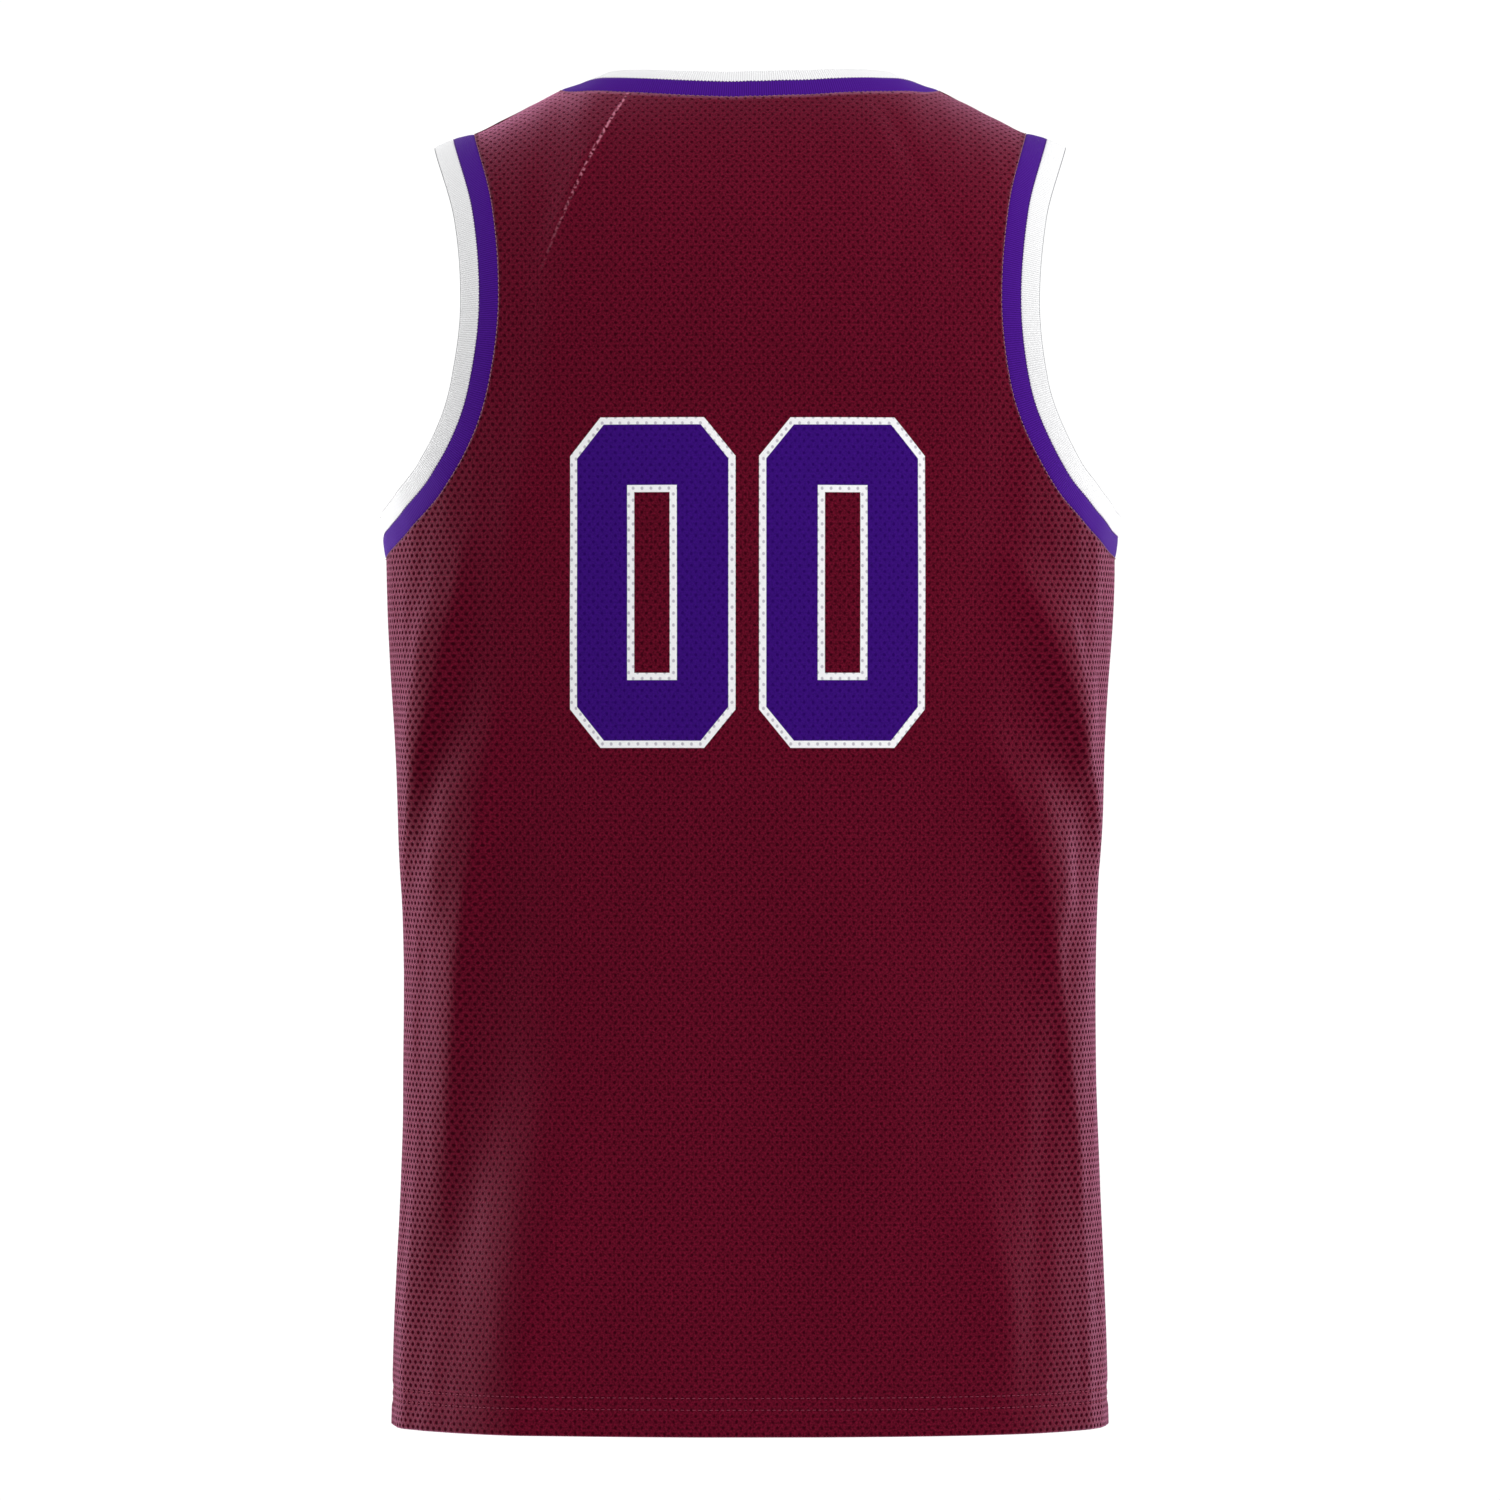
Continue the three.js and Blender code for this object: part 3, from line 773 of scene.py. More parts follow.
def crease_mask(finish, along, up, place):
    starts, rises = CREASE.T
    turns = starts / QUARTER_GIRTH * QUARTER_TURN
    (from_x, from_y), (to_x, to_y) = cloth_coordinates("back", turns, rises).tolist()
    length = math.hypot(to_x - from_x, to_y - from_y)
    way_x, way_y = (to_x - from_x) / length, (to_y - from_y) / length
    aside, above = along - from_x, up - from_y
    run = (aside * way_x + above * way_y).larger(0).smaller(length)
    off_x, off_y = aside - run * way_x, above - run * way_y
    near = 1 - (off_x * off_x + off_y * off_y).root().rising(*CREASE_EDGE)
    broken = finish.noise(place, CREASE_BREAK_SCALE, 1.0).rising(*CREASE_BREAKS)
    return near * broken * (1 - (run / length).rising(*CREASE_FADE))


print("the crease runs from", CREASE[0], "to", CREASE[1])

# %% [markdown]
# ## The knit's colour, sheen and relief
# Polyester knit throws back light at a grazing angle as a soft rosy sheen, so its sides look paler
# than its middle, while a mirror-like gloss is almost absent. So the shader has a strong tinted
# sheen and hardly any specular. Both are the same all over, so they are set on the shader itself.
# Only the colour, the roughness and the bump change from place to place.

# %% Make the mesh knit's finishes
MAROON_LOW = paint(58, 0, 14)
MAROON_HIGH = paint(108, 9, 38)
# Painted shade: the colours seen in the holes stand for the dark inside of the jersey behind them
HOLE_SHADE_MAROON = paint(42, 1, 12)
HOLE_SHADE_PURPLE = paint(37, 5, 88)
HOLE_SHADE_WHITE = paint(156, 150, 164)
INK_PURPLE = paint(58, 10, 122)
INK_PURPLE_LOW = paint(42, 6, 100)
INK_WHITE = paint(236, 236, 238)
# Painted highlight: the pale rose colour along the pressed crease's ridge
CREASE_HIGHLIGHT_ROSE = paint(206, 126, 148)
SHEEN_ROSE = (1.0, 0.42, 0.68, 1.0)
GRAIN_CONTRAST = 3.0
WORN_SCALE, WORN_CONTRAST = 9.0, 0.2
SHADE_EDGE = (0.1, 0.9)
CREASE_HIGHLIGHT_SHARE, CREASE_HEIGHT = 0.75, 0.8
GRAIN_HEIGHT, HOLE_DEPTH, HOLE_DULL = 0.6, 0.35, 0.95
KNIT_ROUGH, KNIT_SMOOTHER = 0.74, 0.08
KNIT_RELIEF, KNIT_RELIEF_STRENGTH = 0.0005, 0.75


def mesh_knit(name, numbered):
    finish = Finish(name, Sheen_Weight=0.78, Sheen_Roughness=0.33, Sheen_Tint=SHEEN_ROSE,
                    Specular_IOR_Level=0.03)
    along, up, place = finish.cloth_place()
    holes = pinholes(finish, along, up, place)
    grain = knit_grain(finish, along, up, place)
    worn = finish.noise(place, WORN_SCALE, 3.0)
    shade = (grain - 0.5) * GRAIN_CONTRAST + (worn - 0.5) * WORN_CONTRAST + 0.5
    shade = shade.rising(*SHADE_EDGE)
    colour = finish.mix(shade, MAROON_LOW, MAROON_HIGH)
    # bottom is painted shade: the dark inside seen through the holes, under plain cloth or under the
    # print
    bottom = HOLE_SHADE_MAROON
    height = grain * GRAIN_HEIGHT - holes * HOLE_DEPTH
    if numbered:
        crease = crease_mask(finish, along, up, place)
        # Painted highlight: a pale rose line along the crease's ridge; the bump below is its real
        # relief
        colour = finish.mix(crease * CREASE_HIGHLIGHT_SHARE, colour, CREASE_HIGHLIGHT_ROSE)
        height = height + crease * CREASE_HEIGHT
        inked, purple = number_masks(along, up)
        dye = finish.mix(shade, INK_PURPLE_LOW, INK_PURPLE)
        ink = finish.mix(purple, INK_WHITE, dye)
        colour = finish.mix(inked, colour, ink)
        bottom = finish.mix(inked, HOLE_SHADE_MAROON, finish.mix(purple, HOLE_SHADE_WHITE, HOLE_SHADE_PURPLE))
    finish.feed(Base_Color=colour, Roughness=KNIT_ROUGH - grain * KNIT_SMOOTHER)
    finish.relief(height, KNIT_RELIEF, KNIT_RELIEF_STRENGTH)
    finish.sunk(holes * HOLE_DULL, bottom)
    return finish.material


knit_plain = mesh_knit("mesh_knit_maroon", numbered=False)
knit_numbered = mesh_knit("mesh_knit_maroon_numbered", numbered=True)
print("nodes in the numbered knit:", len(knit_numbered.node_tree.nodes))

# %% [markdown]
# ## Rib knit and thread
# Rib knit is a row of narrow cords that run across the strip, from the seam to the edge, so it
# stretches along the opening and hugs the wearer. The cords are 1.25 mm apart, too fine to model,
# so they are waves in the bump, and in the colour as painted shade that darkens their valleys. The
# outer edge, where the strip rolls under, is painted darker too: painted shade. Thread is plain
# twisted polyester, a shade lighter than the cloth it is sewn on.

# %% Make the rib's and the thread's finishes
STRIP_WIDTH = 11.8
# The strip's outer edge is painted darker over this width: painted shade where it rolls under
EDGE_SHADE_WIDTH = 0.8
RIB_PITCH, RIB_LOOP = 1.25, 0.9
# How much of the height comes from the cords, from the loops across them and from the fuzz
CORD_SHARE, CROSS_SHARE, FUZZ_SHARE = 0.75, 0.15, 0.25
FUZZ_SCALE, FUZZ_WANDER = 1400.0, 0.9
TWIST_PITCH = 0.5


def wave(place, pitch):
    """A wave from 0 to 1 along a reading in millimetres."""
    return (place * (FULL_TURN / pitch)).sine() * 0.5 + 0.5


def rib_knit(name, bright, valley_shade, edge, sheen):
    finish = Finish(name, Sheen_Weight=0.12, Sheen_Roughness=0.3, Sheen_Tint=sheen,
                    Specular_IOR_Level=0.06)
    along, across, place = finish.cloth_place()
    fuzz = finish.noise(place, FUZZ_SCALE)
    cords = (along * (FULL_TURN / RIB_PITCH) + fuzz * FUZZ_WANDER).sine() * 0.5 + 0.5
    height = cords * CORD_SHARE + wave(across, RIB_LOOP) * CROSS_SHARE + fuzz * FUZZ_SHARE
    # Painted shade: towards the outer edge the colour darkens to edge, where the strip rolls under
    rolled = across.rising(STRIP_WIDTH - EDGE_SHADE_WIDTH, STRIP_WIDTH)
    # Painted shade: the valleys between the cords take the darker valley colour
    colour = finish.mix(height.rising(0.15, 0.85), valley_shade, bright)
    finish.feed(Base_Color=finish.mix(rolled, colour, edge), Roughness=0.86 - height * 0.08)
    finish.relief(height, 0.0003, 0.8)
    return finish.material


def sewing_thread(name, colour, groove_shade):
    finish = Finish(name, Roughness=0.7, Specular_IOR_Level=0.1)
    along, across, place = finish.cloth_place()
    twist = wave(along + across, TWIST_PITCH)
    # Painted shade: the grooves of the twist take the darker colour
    finish.feed(Base_Color=finish.mix(twist, groove_shade, colour))
    finish.relief(twist, 0.0001, 0.6)
    return finish.material


# Each rib's valley and edge colours are painted shade
rib_purple = rib_knit("rib_knit_purple", bright=paint(70, 17, 132), valley_shade=paint(51, 9, 106),
                      edge=paint(46, 10, 96), sheen=(0.72, 0.62, 0.95, 1.0))
rib_white = rib_knit("rib_knit_white", bright=paint(230, 230, 231), valley_shade=paint(208, 208, 209),
                     edge=paint(102, 102, 106), sheen=(1.0, 1.0, 1.0, 1.0))
thread_rose = sewing_thread("thread_rose", paint(168, 122, 136), paint(118, 66, 84))
thread_maroon = sewing_thread("thread_maroon", paint(146, 62, 84), paint(96, 28, 48))
thread_violet = sewing_thread("thread_violet", paint(150, 118, 176), paint(96, 60, 130))
print("rib cords per 10 mm:", 10 / RIB_PITCH)

# %% [markdown]
# ## Building a wall of cloth
# Cloth is thin, but it has two faces and an edge that the light catches. A Solidify modifier would
# lay both faces on the same piece of the texture map, so the wall is built by hand: an outer grid,
# an inner grid, and a rounded edge between them. Each face gets its flat-cloth coordinates and its
# own place in a second map, which an export can bake into.

# %% Turn arrays into a mesh
CLOTH_MAP, BAKE_MAP = "cloth", "OFBake"


def make_object(name, points, quads, cloth_uv, bake_uv, materials, material_of=None):
    """A piece from points in millimetres and quads, with its two maps given corner by corner."""
    mesh = bpy.data.meshes.new(name)
    mesh.vertices.add(len(points))
    mesh.vertices.foreach_set("co", (points * MM).astype(np.float32).ravel())
    mesh.loops.add(quads.size)
    mesh.loops.foreach_set("vertex_index", quads.astype(np.int32).ravel())
    mesh.polygons.add(len(quads))
    mesh.polygons.foreach_set("loop_start", np.arange(0, quads.size, 4, dtype=np.int32))
    mesh.update(calc_edges=True)
    for map_name, corners, scale in ((CLOTH_MAP, cloth_uv, MM), (BAKE_MAP, bake_uv, 1.0)):
        layer = mesh.uv_layers.new(name=map_name)
        layer.data.foreach_set("uv", (corners * scale).astype(np.float32).ravel())
    for material in materials:
        mesh.materials.append(material)
    if material_of is not None:
        mesh.polygons.foreach_set("material_index", material_of.astype(np.int32))
    mesh.validate()
    mesh.shade_smooth()
    piece = bpy.data.objects.new(name, mesh)
    bpy.context.scene.collection.objects.link(piece)
    return piece


def cells(shape, wrap_rows=False, wrap_columns=False):
    """Corner numbers of every quad in a grid: (quads, 4 corners) of (row, column)."""
    rows, columns = shape
    row, column = np.meshgrid(
        np.arange(rows if wrap_rows else rows - 1),
        np.arange(columns if wrap_columns else columns - 1), indexing="ij")
    row, column = row.ravel(), column.ravel()
    corners = [(row, column), (row, column + 1), (row + 1, column + 1), (row + 1, column)]
    return np.stack([np.stack(corner, axis=-1) for corner in corners], axis=1)


print("quads in a panel's outer face:", len(cells(places["back"][0].shape)))

# %% Build a panel's wall
# In the bake map, the outer face fills the left half and the inner face the right half
HALF_MAP, OUTER_FROM, INNER_FROM = (0.47, 0.96), (0.015, 0.02), (0.515, 0.02)
EDGE_ROOM = 0.008  # each rounded edge gets a strip this wide beside its face


def wall_piece(name, outer, inner, cloth, bulges, materials):
    """A closed wall between two grids. bulges: how far its bottom, top and side edges round out."""
    rows, columns = outer.shape[:2]
    count = rows * columns
    half = (outer + inner) / 2
    bottom, top, side = bulges
    # A middle line runs round the wall, just beyond its edges: bottom, right, top and left
    middles = [
        half[0] + unit(outer[0] - outer[1]) * bottom,
        half[:, -1] + unit(outer[:, -1] - outer[:, -2]) * side,
        half[-1] + unit(outer[-1] - outer[-2]) * top,
        half[:, 0] + unit(outer[:, 0] - outer[:, 1]) * side,
    ]
    points = np.concatenate([outer.reshape(-1, 3), inner.reshape(-1, 3)] + middles)
    starts = 2 * count + np.cumsum([0, columns, rows, columns])
    grid = np.arange(count).reshape(rows, columns)
    corner = cells((rows, columns))
    r, c = corner[..., 0], corner[..., 1]
    quads = [grid[r, c], (grid[r, c] + count)[:, ::-1]]
    cloth_corners = [cloth[r, c], cloth[r, c][:, ::-1]]
    share = np.stack([c / (columns - 1), r / (rows - 1)], axis=-1)
    bake_corners = [share * HALF_MAP + OUTER_FROM, (share * HALF_MAP + INNER_FROM)[:, ::-1]]
    # Only the outer face takes the first material; the rest of the wall takes the second
    material_of = [np.zeros(len(corner)), np.ones(len(corner))]
    edges = [
        (grid[0], starts[0], (0, -EDGE_ROOM), True),
        (grid[:, -1], starts[1], (EDGE_ROOM, 0), True),
        (grid[-1], starts[2], (0, EDGE_ROOM), False),
        (grid[:, 0], starts[3], (-EDGE_ROOM, 0), False),
    ]
    for edge, start, shift, forward in edges:
        one, two = np.arange(len(edge) - 1), np.arange(1, len(edge))
        if not forward:
            one, two = two, one
        place = np.stack([edge % columns / (columns - 1), edge // columns / (rows - 1)], axis=-1)
        flat_place = cloth.reshape(-1, 2)[edge]
        for lift, map_from, a, b in ((0, OUTER_FROM, two, one), (count, INNER_FROM, one, two)):
            quads.append(np.stack([edge[a] + lift, edge[b] + lift, start + b, start + a], axis=1))
            cloth_corners.append(flat_place[np.stack([a, b, b, a], axis=1)])
            base = place * HALF_MAP + map_from
            out = base + shift
            bake_corners.append(np.stack([base[a], base[b], out[b], out[a]], axis=1))
            material_of.append(np.ones(len(a)))
    return make_object(name, points, np.concatenate(quads), np.concatenate(cloth_corners),
                       np.concatenate(bake_corners), materials, np.concatenate(material_of))


# %% [markdown]
# ## The two panels
# The cloth is 1.2 mm thick. At the hem it is turned up inside by 23 mm, so the wall is nearly twice
# as thick there, and its lower edge is a fold instead of a cut.

# %% Make the panels
PANEL_WALL = 1.2
HEM_EXTRA = 0.9
PANEL_ROUNDING = (0.9, 0.1, 0.12)  # how far the hem, the top edge and the side edges round out
panels = {}
for side in PANELS:
    turn, rise = places[side]
    outer, normal = faces[side]
    hem_share = 1 - smooth_step((rise - (HEM_HEIGHT + HEM_DEPTH)) / HEM_STEP)
    inner = outer - normal * (PANEL_WALL + HEM_EXTRA * hem_share)[..., None]
    first = knit_numbered if side == "back" else knit_plain
    panels[side] = wall_piece(f"{side}_cloth", outer, inner, flat[side], PANEL_ROUNDING,
                              [first, knit_plain])
    print(side, "panel:", len(panels[side].data.polygons), "faces")

# %% [markdown]
# ## The trim
# Each opening is closed by two rib strips: purple next to the panel, white at the edge. They start
# from the seam, so the seam's own curve is what places them. On the real garment each strip is a
# little cushion, because rib is thick and its edges roll under, so its section is a rounded bar and
# not a flat ribbon. A Curve object's bevel keeps one section all the way round, while here each
# section is set between two curves, the strip's edges, with an outward direction of its own at each.

# %% Close the seams into rings
def seam_of(side, rows, columns):
    """Points, directions and rises of one panel along part of its edge."""
    outer, normal = faces[side]
    return outer[rows, columns], normal[rows, columns], places[side][1][rows, columns]


def closed_seam(up, down):
    """Up one panel's edge and down the other's, sharing both ends."""
    ring = [np.concatenate([one[:-1], other[:-1]]) for one, other in zip(up, down)]
    last = len(up[0]) - 1
    for values, one, other in zip(ring, up, down):
        values[0] = (one[0] + other[-1]) / 2
        values[last] = (one[-1] + other[0]) / 2
    return ring[0], unit(ring[1]), ring[2]


def armhole_ring(right_side, left_side):
    rows = slice(-1 - ARMHOLE_ROWS, None)
    up = seam_of(right_side, rows, -1)
    down = [values[::-1] for values in seam_of(left_side, rows, 0)]
    return closed_seam(up, down)


def neck_ring():
    columns = slice(SHOULDER_COLUMNS, -SHOULDER_COLUMNS)
    up, down = ([values[::-1] for values in seam_of(side, -1, columns)] for side in ("back", "front"))
    return closed_seam(up, down)


rings = {
    "neck": neck_ring(),
    "right_armhole": armhole_ring("back", "front"),
    "left_armhole": armhole_ring("front", "back"),
}
for name, (points, _, _) in rings.items():
    length = np.linalg.norm(points - np.roll(points, 1, axis=0), axis=1).sum()
    print(name, "seam:", round(float(length)), "mm round")


# %% Find where each strip starts and ends
# How many degrees each strip of an opening leans off the cloth: at the underarm or the neck's
# middle, and at the shoulder's tip, with how sharply or over how many millimetres that changes
ARMHOLE_LEAN_LOW, ARMHOLE_LEAN_TIP, ARMHOLE_LEAN_POWER = 7, (8, -3), 5
NECK_LEAN, NECK_LEAN_TIP, NECK_LEAN_REACH = (5, -12), (-10, -24), 45


def turned(one, other, degrees):
    lean = np.radians(degrees)[:, None]
    return one * np.cos(lean) + other * np.sin(lean)


def strip_edges(name):
    """For each of the two strips: its start, its end, and the outward direction at both."""
    points, normals, rises = rings[name]
    along = unit(np.roll(points, -1, axis=0) - np.roll(points, 1, axis=0))
    away = unit(np.cross(along, normals))
    facing = unit(np.cross(away, along))
    if name == "neck":
        share = smooth_step((rises - (YOKE_HEIGHT + YOKE_ARC)) / NECK_LEAN_REACH + 1)
        leans = [lean + (tip - lean) * share for lean, tip in zip(NECK_LEAN, NECK_LEAN_TIP)]
    else:
        share = (rises - UNDERARM_HEIGHT) / (YOKE_HEIGHT + YOKE_ARC - UNDERARM_HEIGHT)
        low = ARMHOLE_LEAN_LOW * (1 - share) ** ARMHOLE_LEAN_POWER
        leans = [low + lean * share ** ARMHOLE_LEAN_POWER for lean in ARMHOLE_LEAN_TIP]
    joint = (leans[0] + leans[1]) / 2
    edge_leans = [(0 * joint, joint), (joint, leans[1])]
    strips, reach = [], points
    for lean, (lean_in, lean_out) in zip(leans, edge_leans):
        onward = turned(away, facing, lean)
        start = reach + onward * SEAM_GAP
        reach = start + onward * STRIP_WIDTH
        strips.append((start, reach, turned(facing, away, -lean_in), turned(facing, away, -lean_out)))
    return strips, away, facing


strip_places = {name: strip_edges(name) for name in rings}
print("strips for each opening:", len(strip_places["neck"][0]))


# %% Sweep a rounded section along a ring
def lengths_along(points, is_ring):
    steps = np.linalg.norm(np.diff(points, axis=0), axis=1)
    length = np.concatenate([[0], np.cumsum(steps)])
    if is_ring:
        length = np.append(length, length[-1] + np.linalg.norm(points[0] - points[-1]))
    return length


def swept_piece(name, path, sections, across, material, is_ring=True):
    """Sections, one at each point of a path, joined into a bar. across: flat place round a section."""
    stations, around = sections.shape[:2]
    length = lengths_along(path, is_ring)
    corner = cells((stations, around), wrap_rows=is_ring, wrap_columns=True)
    r, c = corner[..., 0], corner[..., 1]
    quads = ((r % stations) * around + c % around)[:, ::-1]
    cloth_corners = np.stack([length[r], across[c % around]], axis=-1)[:, ::-1]
    bake_corners = (np.stack([r / (len(length) - 1), c / around], axis=-1) * 0.98 + 0.01)[:, ::-1]
    faces_and_maps = (quads, cloth_corners, bake_corners)
    if not is_ring:
        faces_and_maps = with_caps(*faces_and_maps, stations, around)
    return make_object(name, sections.reshape(-1, 3), *faces_and_maps, [material])


def with_caps(quads, cloth_corners, bake_corners, stations, around):
    """Closes a bar's two ends with quads across its section."""
    caps = []
    for base, order in ((0, 1), ((stations - 1) * around, -1)):
        for step in range(around // 2 - 1):
            a, b, c, d = step, step + 1, around - 2 - step, around - 1 - step
            caps.append([base + v for v in (a, b, c, d)][::order])
    caps = np.array(caps)
    spare = np.full((len(caps), 4, 2), 0.5)
    return (np.concatenate([quads, caps]), np.concatenate([cloth_corners, spare]),
            np.concatenate([bake_corners, spare * 0.004 + 0.001]))


RIB_SQUARENESS = 4.5  # of the strips' section, where 2 would be an ellipse


def bar_section(count, squareness):
    """A rounded bar: places across from 0 to 1, and heights from -1 to 1, going round."""
    angle = np.linspace(0, 2 * math.pi, count, endpoint=False) + math.pi / count
    power = 2 / squareness
    wide = np.sign(np.cos(angle)) * np.abs(np.cos(angle)) ** power
    tall = np.sign(np.sin(angle)) * np.abs(np.sin(angle)) ** power
    return (1 - wide) / 2, tall


for squareness in (2, RIB_SQUARENESS):
    corner_height = float(bar_section(4, squareness)[1][0])
    print("squareness", squareness, "reaches", round(corner_height, 2), "of its height at a corner")

# %% Make the strips
RIB_WALL = 1.8
RIB_PROUD = 0.3
RIB_CROWN = 0.22
RIB_POINTS = 28
STRIP_OVERHANG = 0.15
trims = {}
share, tall = bar_section(RIB_POINTS, RIB_SQUARENESS)
across = -STRIP_OVERHANG + share * (STRIP_WIDTH + 2 * STRIP_OVERHANG)
crown = np.where(tall > 0, RIB_CROWN * (1 - (2 * share - 1) ** 2), 0)
height = RIB_PROUD - RIB_WALL / 2 + tall * RIB_WALL / 2 + crown
steps = (across / STRIP_WIDTH)[None, :, None]
for name, (strips, _, _) in strip_places.items():
    for strip, part, material in zip(strips, ("inner", "edge"), (rib_purple, rib_white)):
        start, end, normal_in, normal_out = strip
        middle = start[:, None] + (end - start)[:, None] * steps
        outward = unit(normal_in[:, None] * (1 - steps) + normal_out[:, None] * steps)
        sections = middle + outward * height[None, :, None]
        piece_name = f"{name}_rib_{part}"
        trims[name, part] = swept_piece(piece_name, (start + end) / 2, sections, across, material)
        print(piece_name, len(trims[name, part].data.polygons), "faces")

# %% [markdown]
# ## Seam allowances
# Inside, every seam has two raw edges that an overlock machine has trimmed and wrapped in thread.
# They are what closes the line between two pieces. Each is a narrow flat band, folded to one side,
# that follows its seam just inside the cloth.

# %% Make the overlocked bands
BAND_SECTION = (12, 4)
# How far each kind of band reaches across its seam, and how deep its two faces lie inside the cloth
RING_BAND = ((-5.2, 3.0), (1.7, 3.1))
SIDE_BAND = ((-0.8, 7.2), (2.6, 4.0))
SHOULDER_BAND = ((-0.8, 6.5), (1.5, 2.9))
overlock = sewing_thread("overlock_maroon", paint(104, 26, 48), paint(66, 8, 26))


def band_piece(name, path, across_way, outward, sizes, is_ring):
    """A flat band inside a seam."""
    (reach_from, reach_to), (near, deep) = sizes
    share, tall = bar_section(*BAND_SECTION)
    across = reach_from + share * (reach_to - reach_from)
    height = -(near + deep) / 2 + tall * (deep - near) / 2
    sections = (path[:, None] + across_way[:, None] * across[None, :, None]
                + outward[:, None] * height[None, :, None])
    return swept_piece(name, path, sections, across, overlock, is_ring)


bands = {}
for name, (_, away, facing) in strip_places.items():
    bands[name] = band_piece(f"{name}_seam_band", rings[name][0], away, facing, RING_BAND, True)

# The side and shoulder seams run up the back panel's own edge, and their bands turn to the back
BELOW_ARMHOLE = slice(0, -ARMHOLE_ROWS - 4)
open_seams = [
    ("right_side", BELOW_ARMHOLE, -1, SIDE_BAND),
    ("left_side", BELOW_ARMHOLE, 0, SIDE_BAND),
    ("right_shoulder", -1, slice(-1 - SHOULDER_COLUMNS, None), SHOULDER_BAND),
    ("left_shoulder", -1, slice(0, SHOULDER_COLUMNS + 1), SHOULDER_BAND),
]
for label, rows, columns, sizes in open_seams:
    outer, normal = faces["back"]
    path = outer[rows, columns] * (1, 0, 1)
    backwards = np.tile((0.0, -1.0, 0.0), (len(path), 1))
    bands[label] = band_piece(f"{label}_seam_band", path, backwards, normal[rows, columns],
                              sizes, False)
print("bands:", len(bands))

# %% [markdown]
# ## Stitches
# A stitch is a short length of thread that comes up through the cloth, lies on it, and goes down
# again. A texture of dashes would float on the cloth without thickness, so each stitch is a small
# arched capsule. All the stitches of one row are one mesh.


# %% Lay a row of stitches along a path
CAPSULE_SIDES, CAPSULE_STATIONS = 6, 7


def capsule():
    """A unit capsule along X: its points, and its faces as quads."""
    angles = np.linspace(0, FULL_TURN, CAPSULE_SIDES, endpoint=False)
    stations = np.linspace(-1, 1, CAPSULE_STATIONS)
    radius = np.sqrt(np.maximum(0.02, 1 - np.abs(stations) ** 6))
    points = np.array([(x, r * math.cos(a), r * math.sin(a))
                       for x, r in zip(stations, radius) for a in angles])
    corner = cells((CAPSULE_STATIONS, CAPSULE_SIDES), wrap_columns=True)
    return points, corner[..., 0] * CAPSULE_SIDES + corner[..., 1] % CAPSULE_SIDES


def read_along(run, values, at):
    """Points or directions that are known at each run of a path, read at others."""
    return np.stack([np.interp(at, run, values[:, axis]) for axis in range(3)], axis=1)


def stitch_row(name, path, outward, length, gap, radius, material, is_ring=False, lift=0.0, slant=0.0):
    """Stitches of one length along a path in millimetres, each turned by slant across it."""
    if is_ring:
        path, outward = np.concatenate([path, path[:1]]), np.concatenate([outward, outward[:1]])
    run = lengths_along(path, False)
    count = max(1, int(run[-1] // (length + gap)))
    centre_run = (np.arange(count) + 0.5) * run[-1] / count
    at = read_along(run, path, centre_run)
    way = unit(read_along(run, path, centre_run + 0.5) - read_along(run, path, centre_run - 0.5))
    up = unit(read_along(run, outward, centre_run))
    way = unit(way + unit(np.cross(up, way)) * slant)
    aside = unit(np.cross(up, way))
    unit_points, unit_quads = capsule()
    long, wide, tall = unit_points.T
    arch = lift + radius * 0.5 - radius * 1.6 * long ** 2
    points = (at[:, None] + way[:, None] * (long * length / 2)[None, :, None]
              + aside[:, None] * (wide * radius)[None, :, None]
              + up[:, None] * (tall * radius + arch)[None, :, None])
    shift = np.arange(count)[:, None, None] * len(unit_points)
    quads = (unit_quads[None] + shift).reshape(-1, 4)
    place = np.stack([long * length / 2, wide * radius], axis=-1)
    cloth_corners = np.tile(place[unit_quads], (count, 1, 1))
    bake_corners = cloth_corners / (length * 2) + 0.5
    return make_object(name, points.reshape(-1, 3), quads, cloth_corners, bake_corners, [material])


print("faces in one stitch:", len(capsule()[1]))

# %% Sew the hem
threads = {}
for side in PANELS:
    turns = np.linspace(-QUARTER_TURN, QUARTER_TURN, 400)
    for number, height in enumerate(HEM_STITCHES):
        path, outward = cloth_at(side, turns, np.full_like(turns, height))
        threads[side, number] = stitch_row(f"{side}_hem_stitches_{number}", path, outward, length=2.5,
                                           gap=0.7, radius=0.24, material=thread_maroon)
    path, outward = cloth_at(side, turns, np.full_like(turns, sum(HEM_STITCHES) / 2))
    path = path - outward * (PANEL_WALL + HEM_EXTRA)
    threads[side, "inside"] = stitch_row(f"{side}_hem_looper_thread", path, -outward, length=6.8,
                                         gap=-4.2, radius=0.22, material=thread_maroon, slant=1.9)
print("stitch rows:", len(threads))

# %% Sew the trim
INTO_TRIM = 0.25  # the seam's stitches lie this far on the panel's side of the seam
for name, (strips, away, facing) in strip_places.items():
    threads[name, "seam"] = stitch_row(
        f"{name}_seam_stitches", rings[name][0] - away * INTO_TRIM, facing, length=2.0, gap=0.7,
        radius=0.26, material=thread_rose, is_ring=True, lift=0.15)
    joint = (strips[0][1] + strips[1][0]) / 2
    threads[name, "joint"] = stitch_row(
        f"{name}_joint_stitches", joint, unit(strips[0][3] + strips[1][2]), length=1.5, gap=0.5,
        radius=0.2, material=thread_violet, is_ring=True, lift=0.1)
    print(name, "sewn")

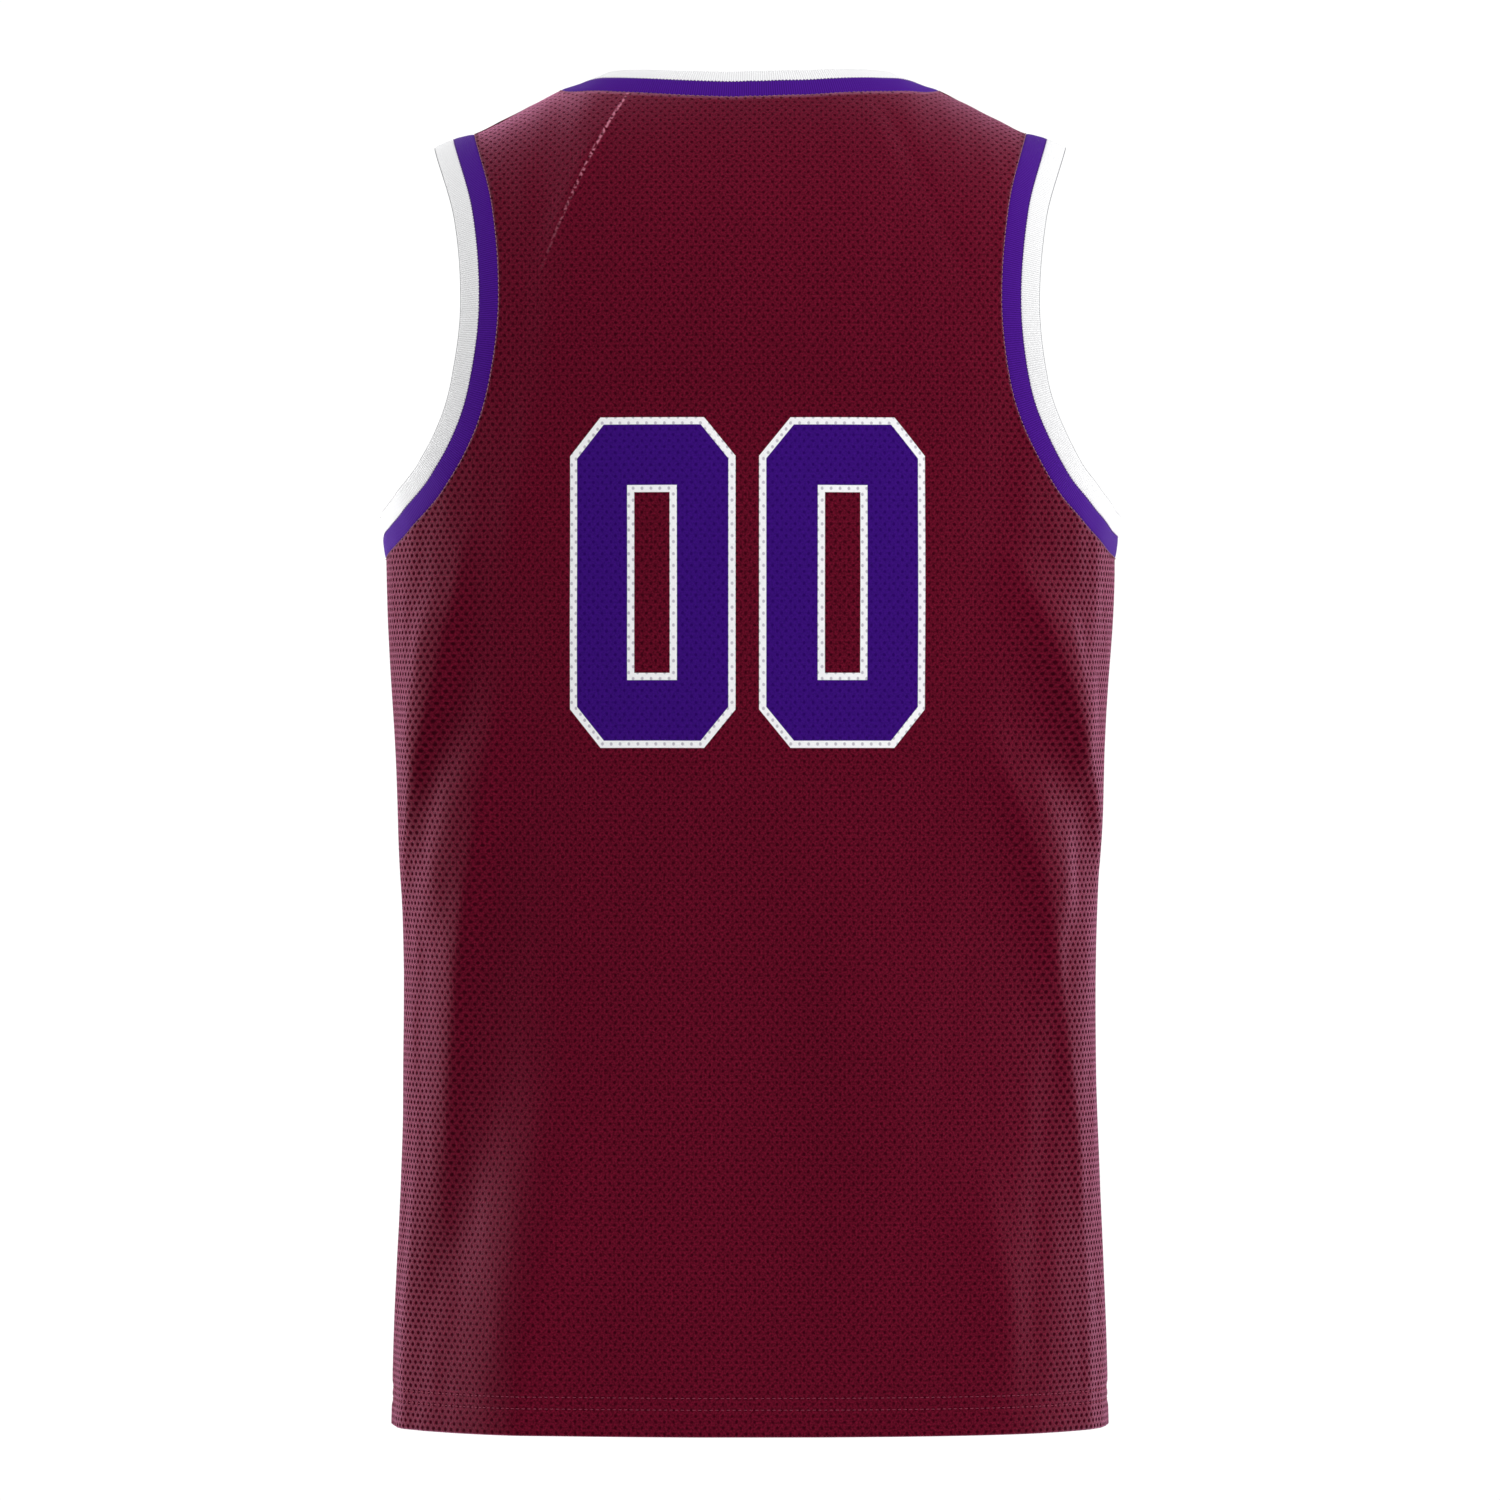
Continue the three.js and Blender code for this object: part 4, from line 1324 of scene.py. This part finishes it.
# %% [markdown]
# ## Attaching the pieces to the body
# Every piece rides on the one body, and each sewn piece stands for its solid, which is hidden. The
# cloth pieces are sheets, the panels are cut with curved edges, and the strips are rectangles as long
# as their seam.


def seam_length(name):
    return float(lengths_along(rings[name][0], True)[-1]) * MM


for side, piece in panels.items():
    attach(piece, "root")
    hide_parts(f"{side}_panel")

for (name, part), piece in trims.items():
    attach(piece, "root")
    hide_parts(f"{name}_trim_{part}")
    "rib_purple" if part == "inner" else "rib_white"
    round(seam_length(name), 3)
    [bands[name]] if part == "inner" else ()

for piece in list(bands.values()) + list(threads.values()):
    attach(piece, "root")

# %% [markdown]
# ## The studio
# The photograph is a cut-out on white, lit from all round. So the world gives a soft even light, and
# the camera sees it brighter than it shines, as pure white. Large soft lights add the rest: a key
# from the right that models the folds, one from above, and one at each side, a little in front of
# the jersey, which brings out the sheen where the cloth turns away. A pale floor lies well below.

# %% Floor and world
FLOOR_HEIGHT = -1.1
FLOOR_RADIUS = 3.1
WORLD_SHINES, WORLD_LOOKS = 0.49, 1.05
WHITE = (1, 1, 1, 1)

bpy.ops.mesh.primitive_circle_add(
    vertices=128, radius=FLOOR_RADIUS, fill_type="NGON", location=(0, 0, FLOOR_HEIGHT))
floor = bpy.context.object
floor.name = "studio_floor"
floor_finish = Finish("floor_pale", Base_Color=(0.86, 0.86, 0.86, 1), Roughness=0.9)
floor.data.materials.append(floor_finish.material)

world = bpy.data.worlds.new("studio_white")
world.use_nodes = True
bpy.context.scene.world = world
sky = Nodes(world.node_tree)
seen = sky.node("ShaderNodeLightPath")  # its first output is 1 where the camera looks
lit, looked_at = (sky.node("ShaderNodeBackground", {}, {"Color": WHITE, "Strength": strength})
                  for strength in (WORLD_SHINES, WORLD_LOOKS))
sky.show(sky.node("ShaderNodeMixShader", {}, {0: seen, 1: lit, 2: looked_at}), "World Output")
bpy.context.scene.view_settings.view_transform = "Standard"
print("floor", FLOOR_HEIGHT, "m, world strength", WORLD_SHINES)

# %% Soft lights
MIDDLE, CHEST_TOP = (0, 0, -0.35), (0, 0, -0.1)
# Name, place, what it is aimed at, width and height in metres, and power in watts
LIGHTS = [
    ("key_right", (2.5, -2.35, 1.75), MIDDLE, (2.0, 1.4), 65),
    ("top", (0.4, -1.4, 2.3), CHEST_TOP, (1.6, 1.2), 32),
    ("side_left", (-1.9, 0.85, -0.2), MIDDLE, (1.0, 2.4), 64),
    ("side_right", (1.9, 0.85, 0.1), MIDDLE, (1.0, 2.4), 36),
    ("chest_fill", (0.4, 3.4, 1.5), MIDDLE, (2.2, 1.6), 5),
]
for name, place, aim, (width, height), power in LIGHTS:
    data = bpy.data.lights.new(name, "AREA")
    data.shape, data.size, data.size_y, data.energy = "RECTANGLE", width, height, power
    light = bpy.data.objects.new(name, data)
    light.location = place
    light.rotation_euler = (Vector(aim) - Vector(place)).to_track_quat("-Z", "Y").to_euler()
    bpy.context.scene.collection.objects.link(light)
print("lights:", len(LIGHTS))
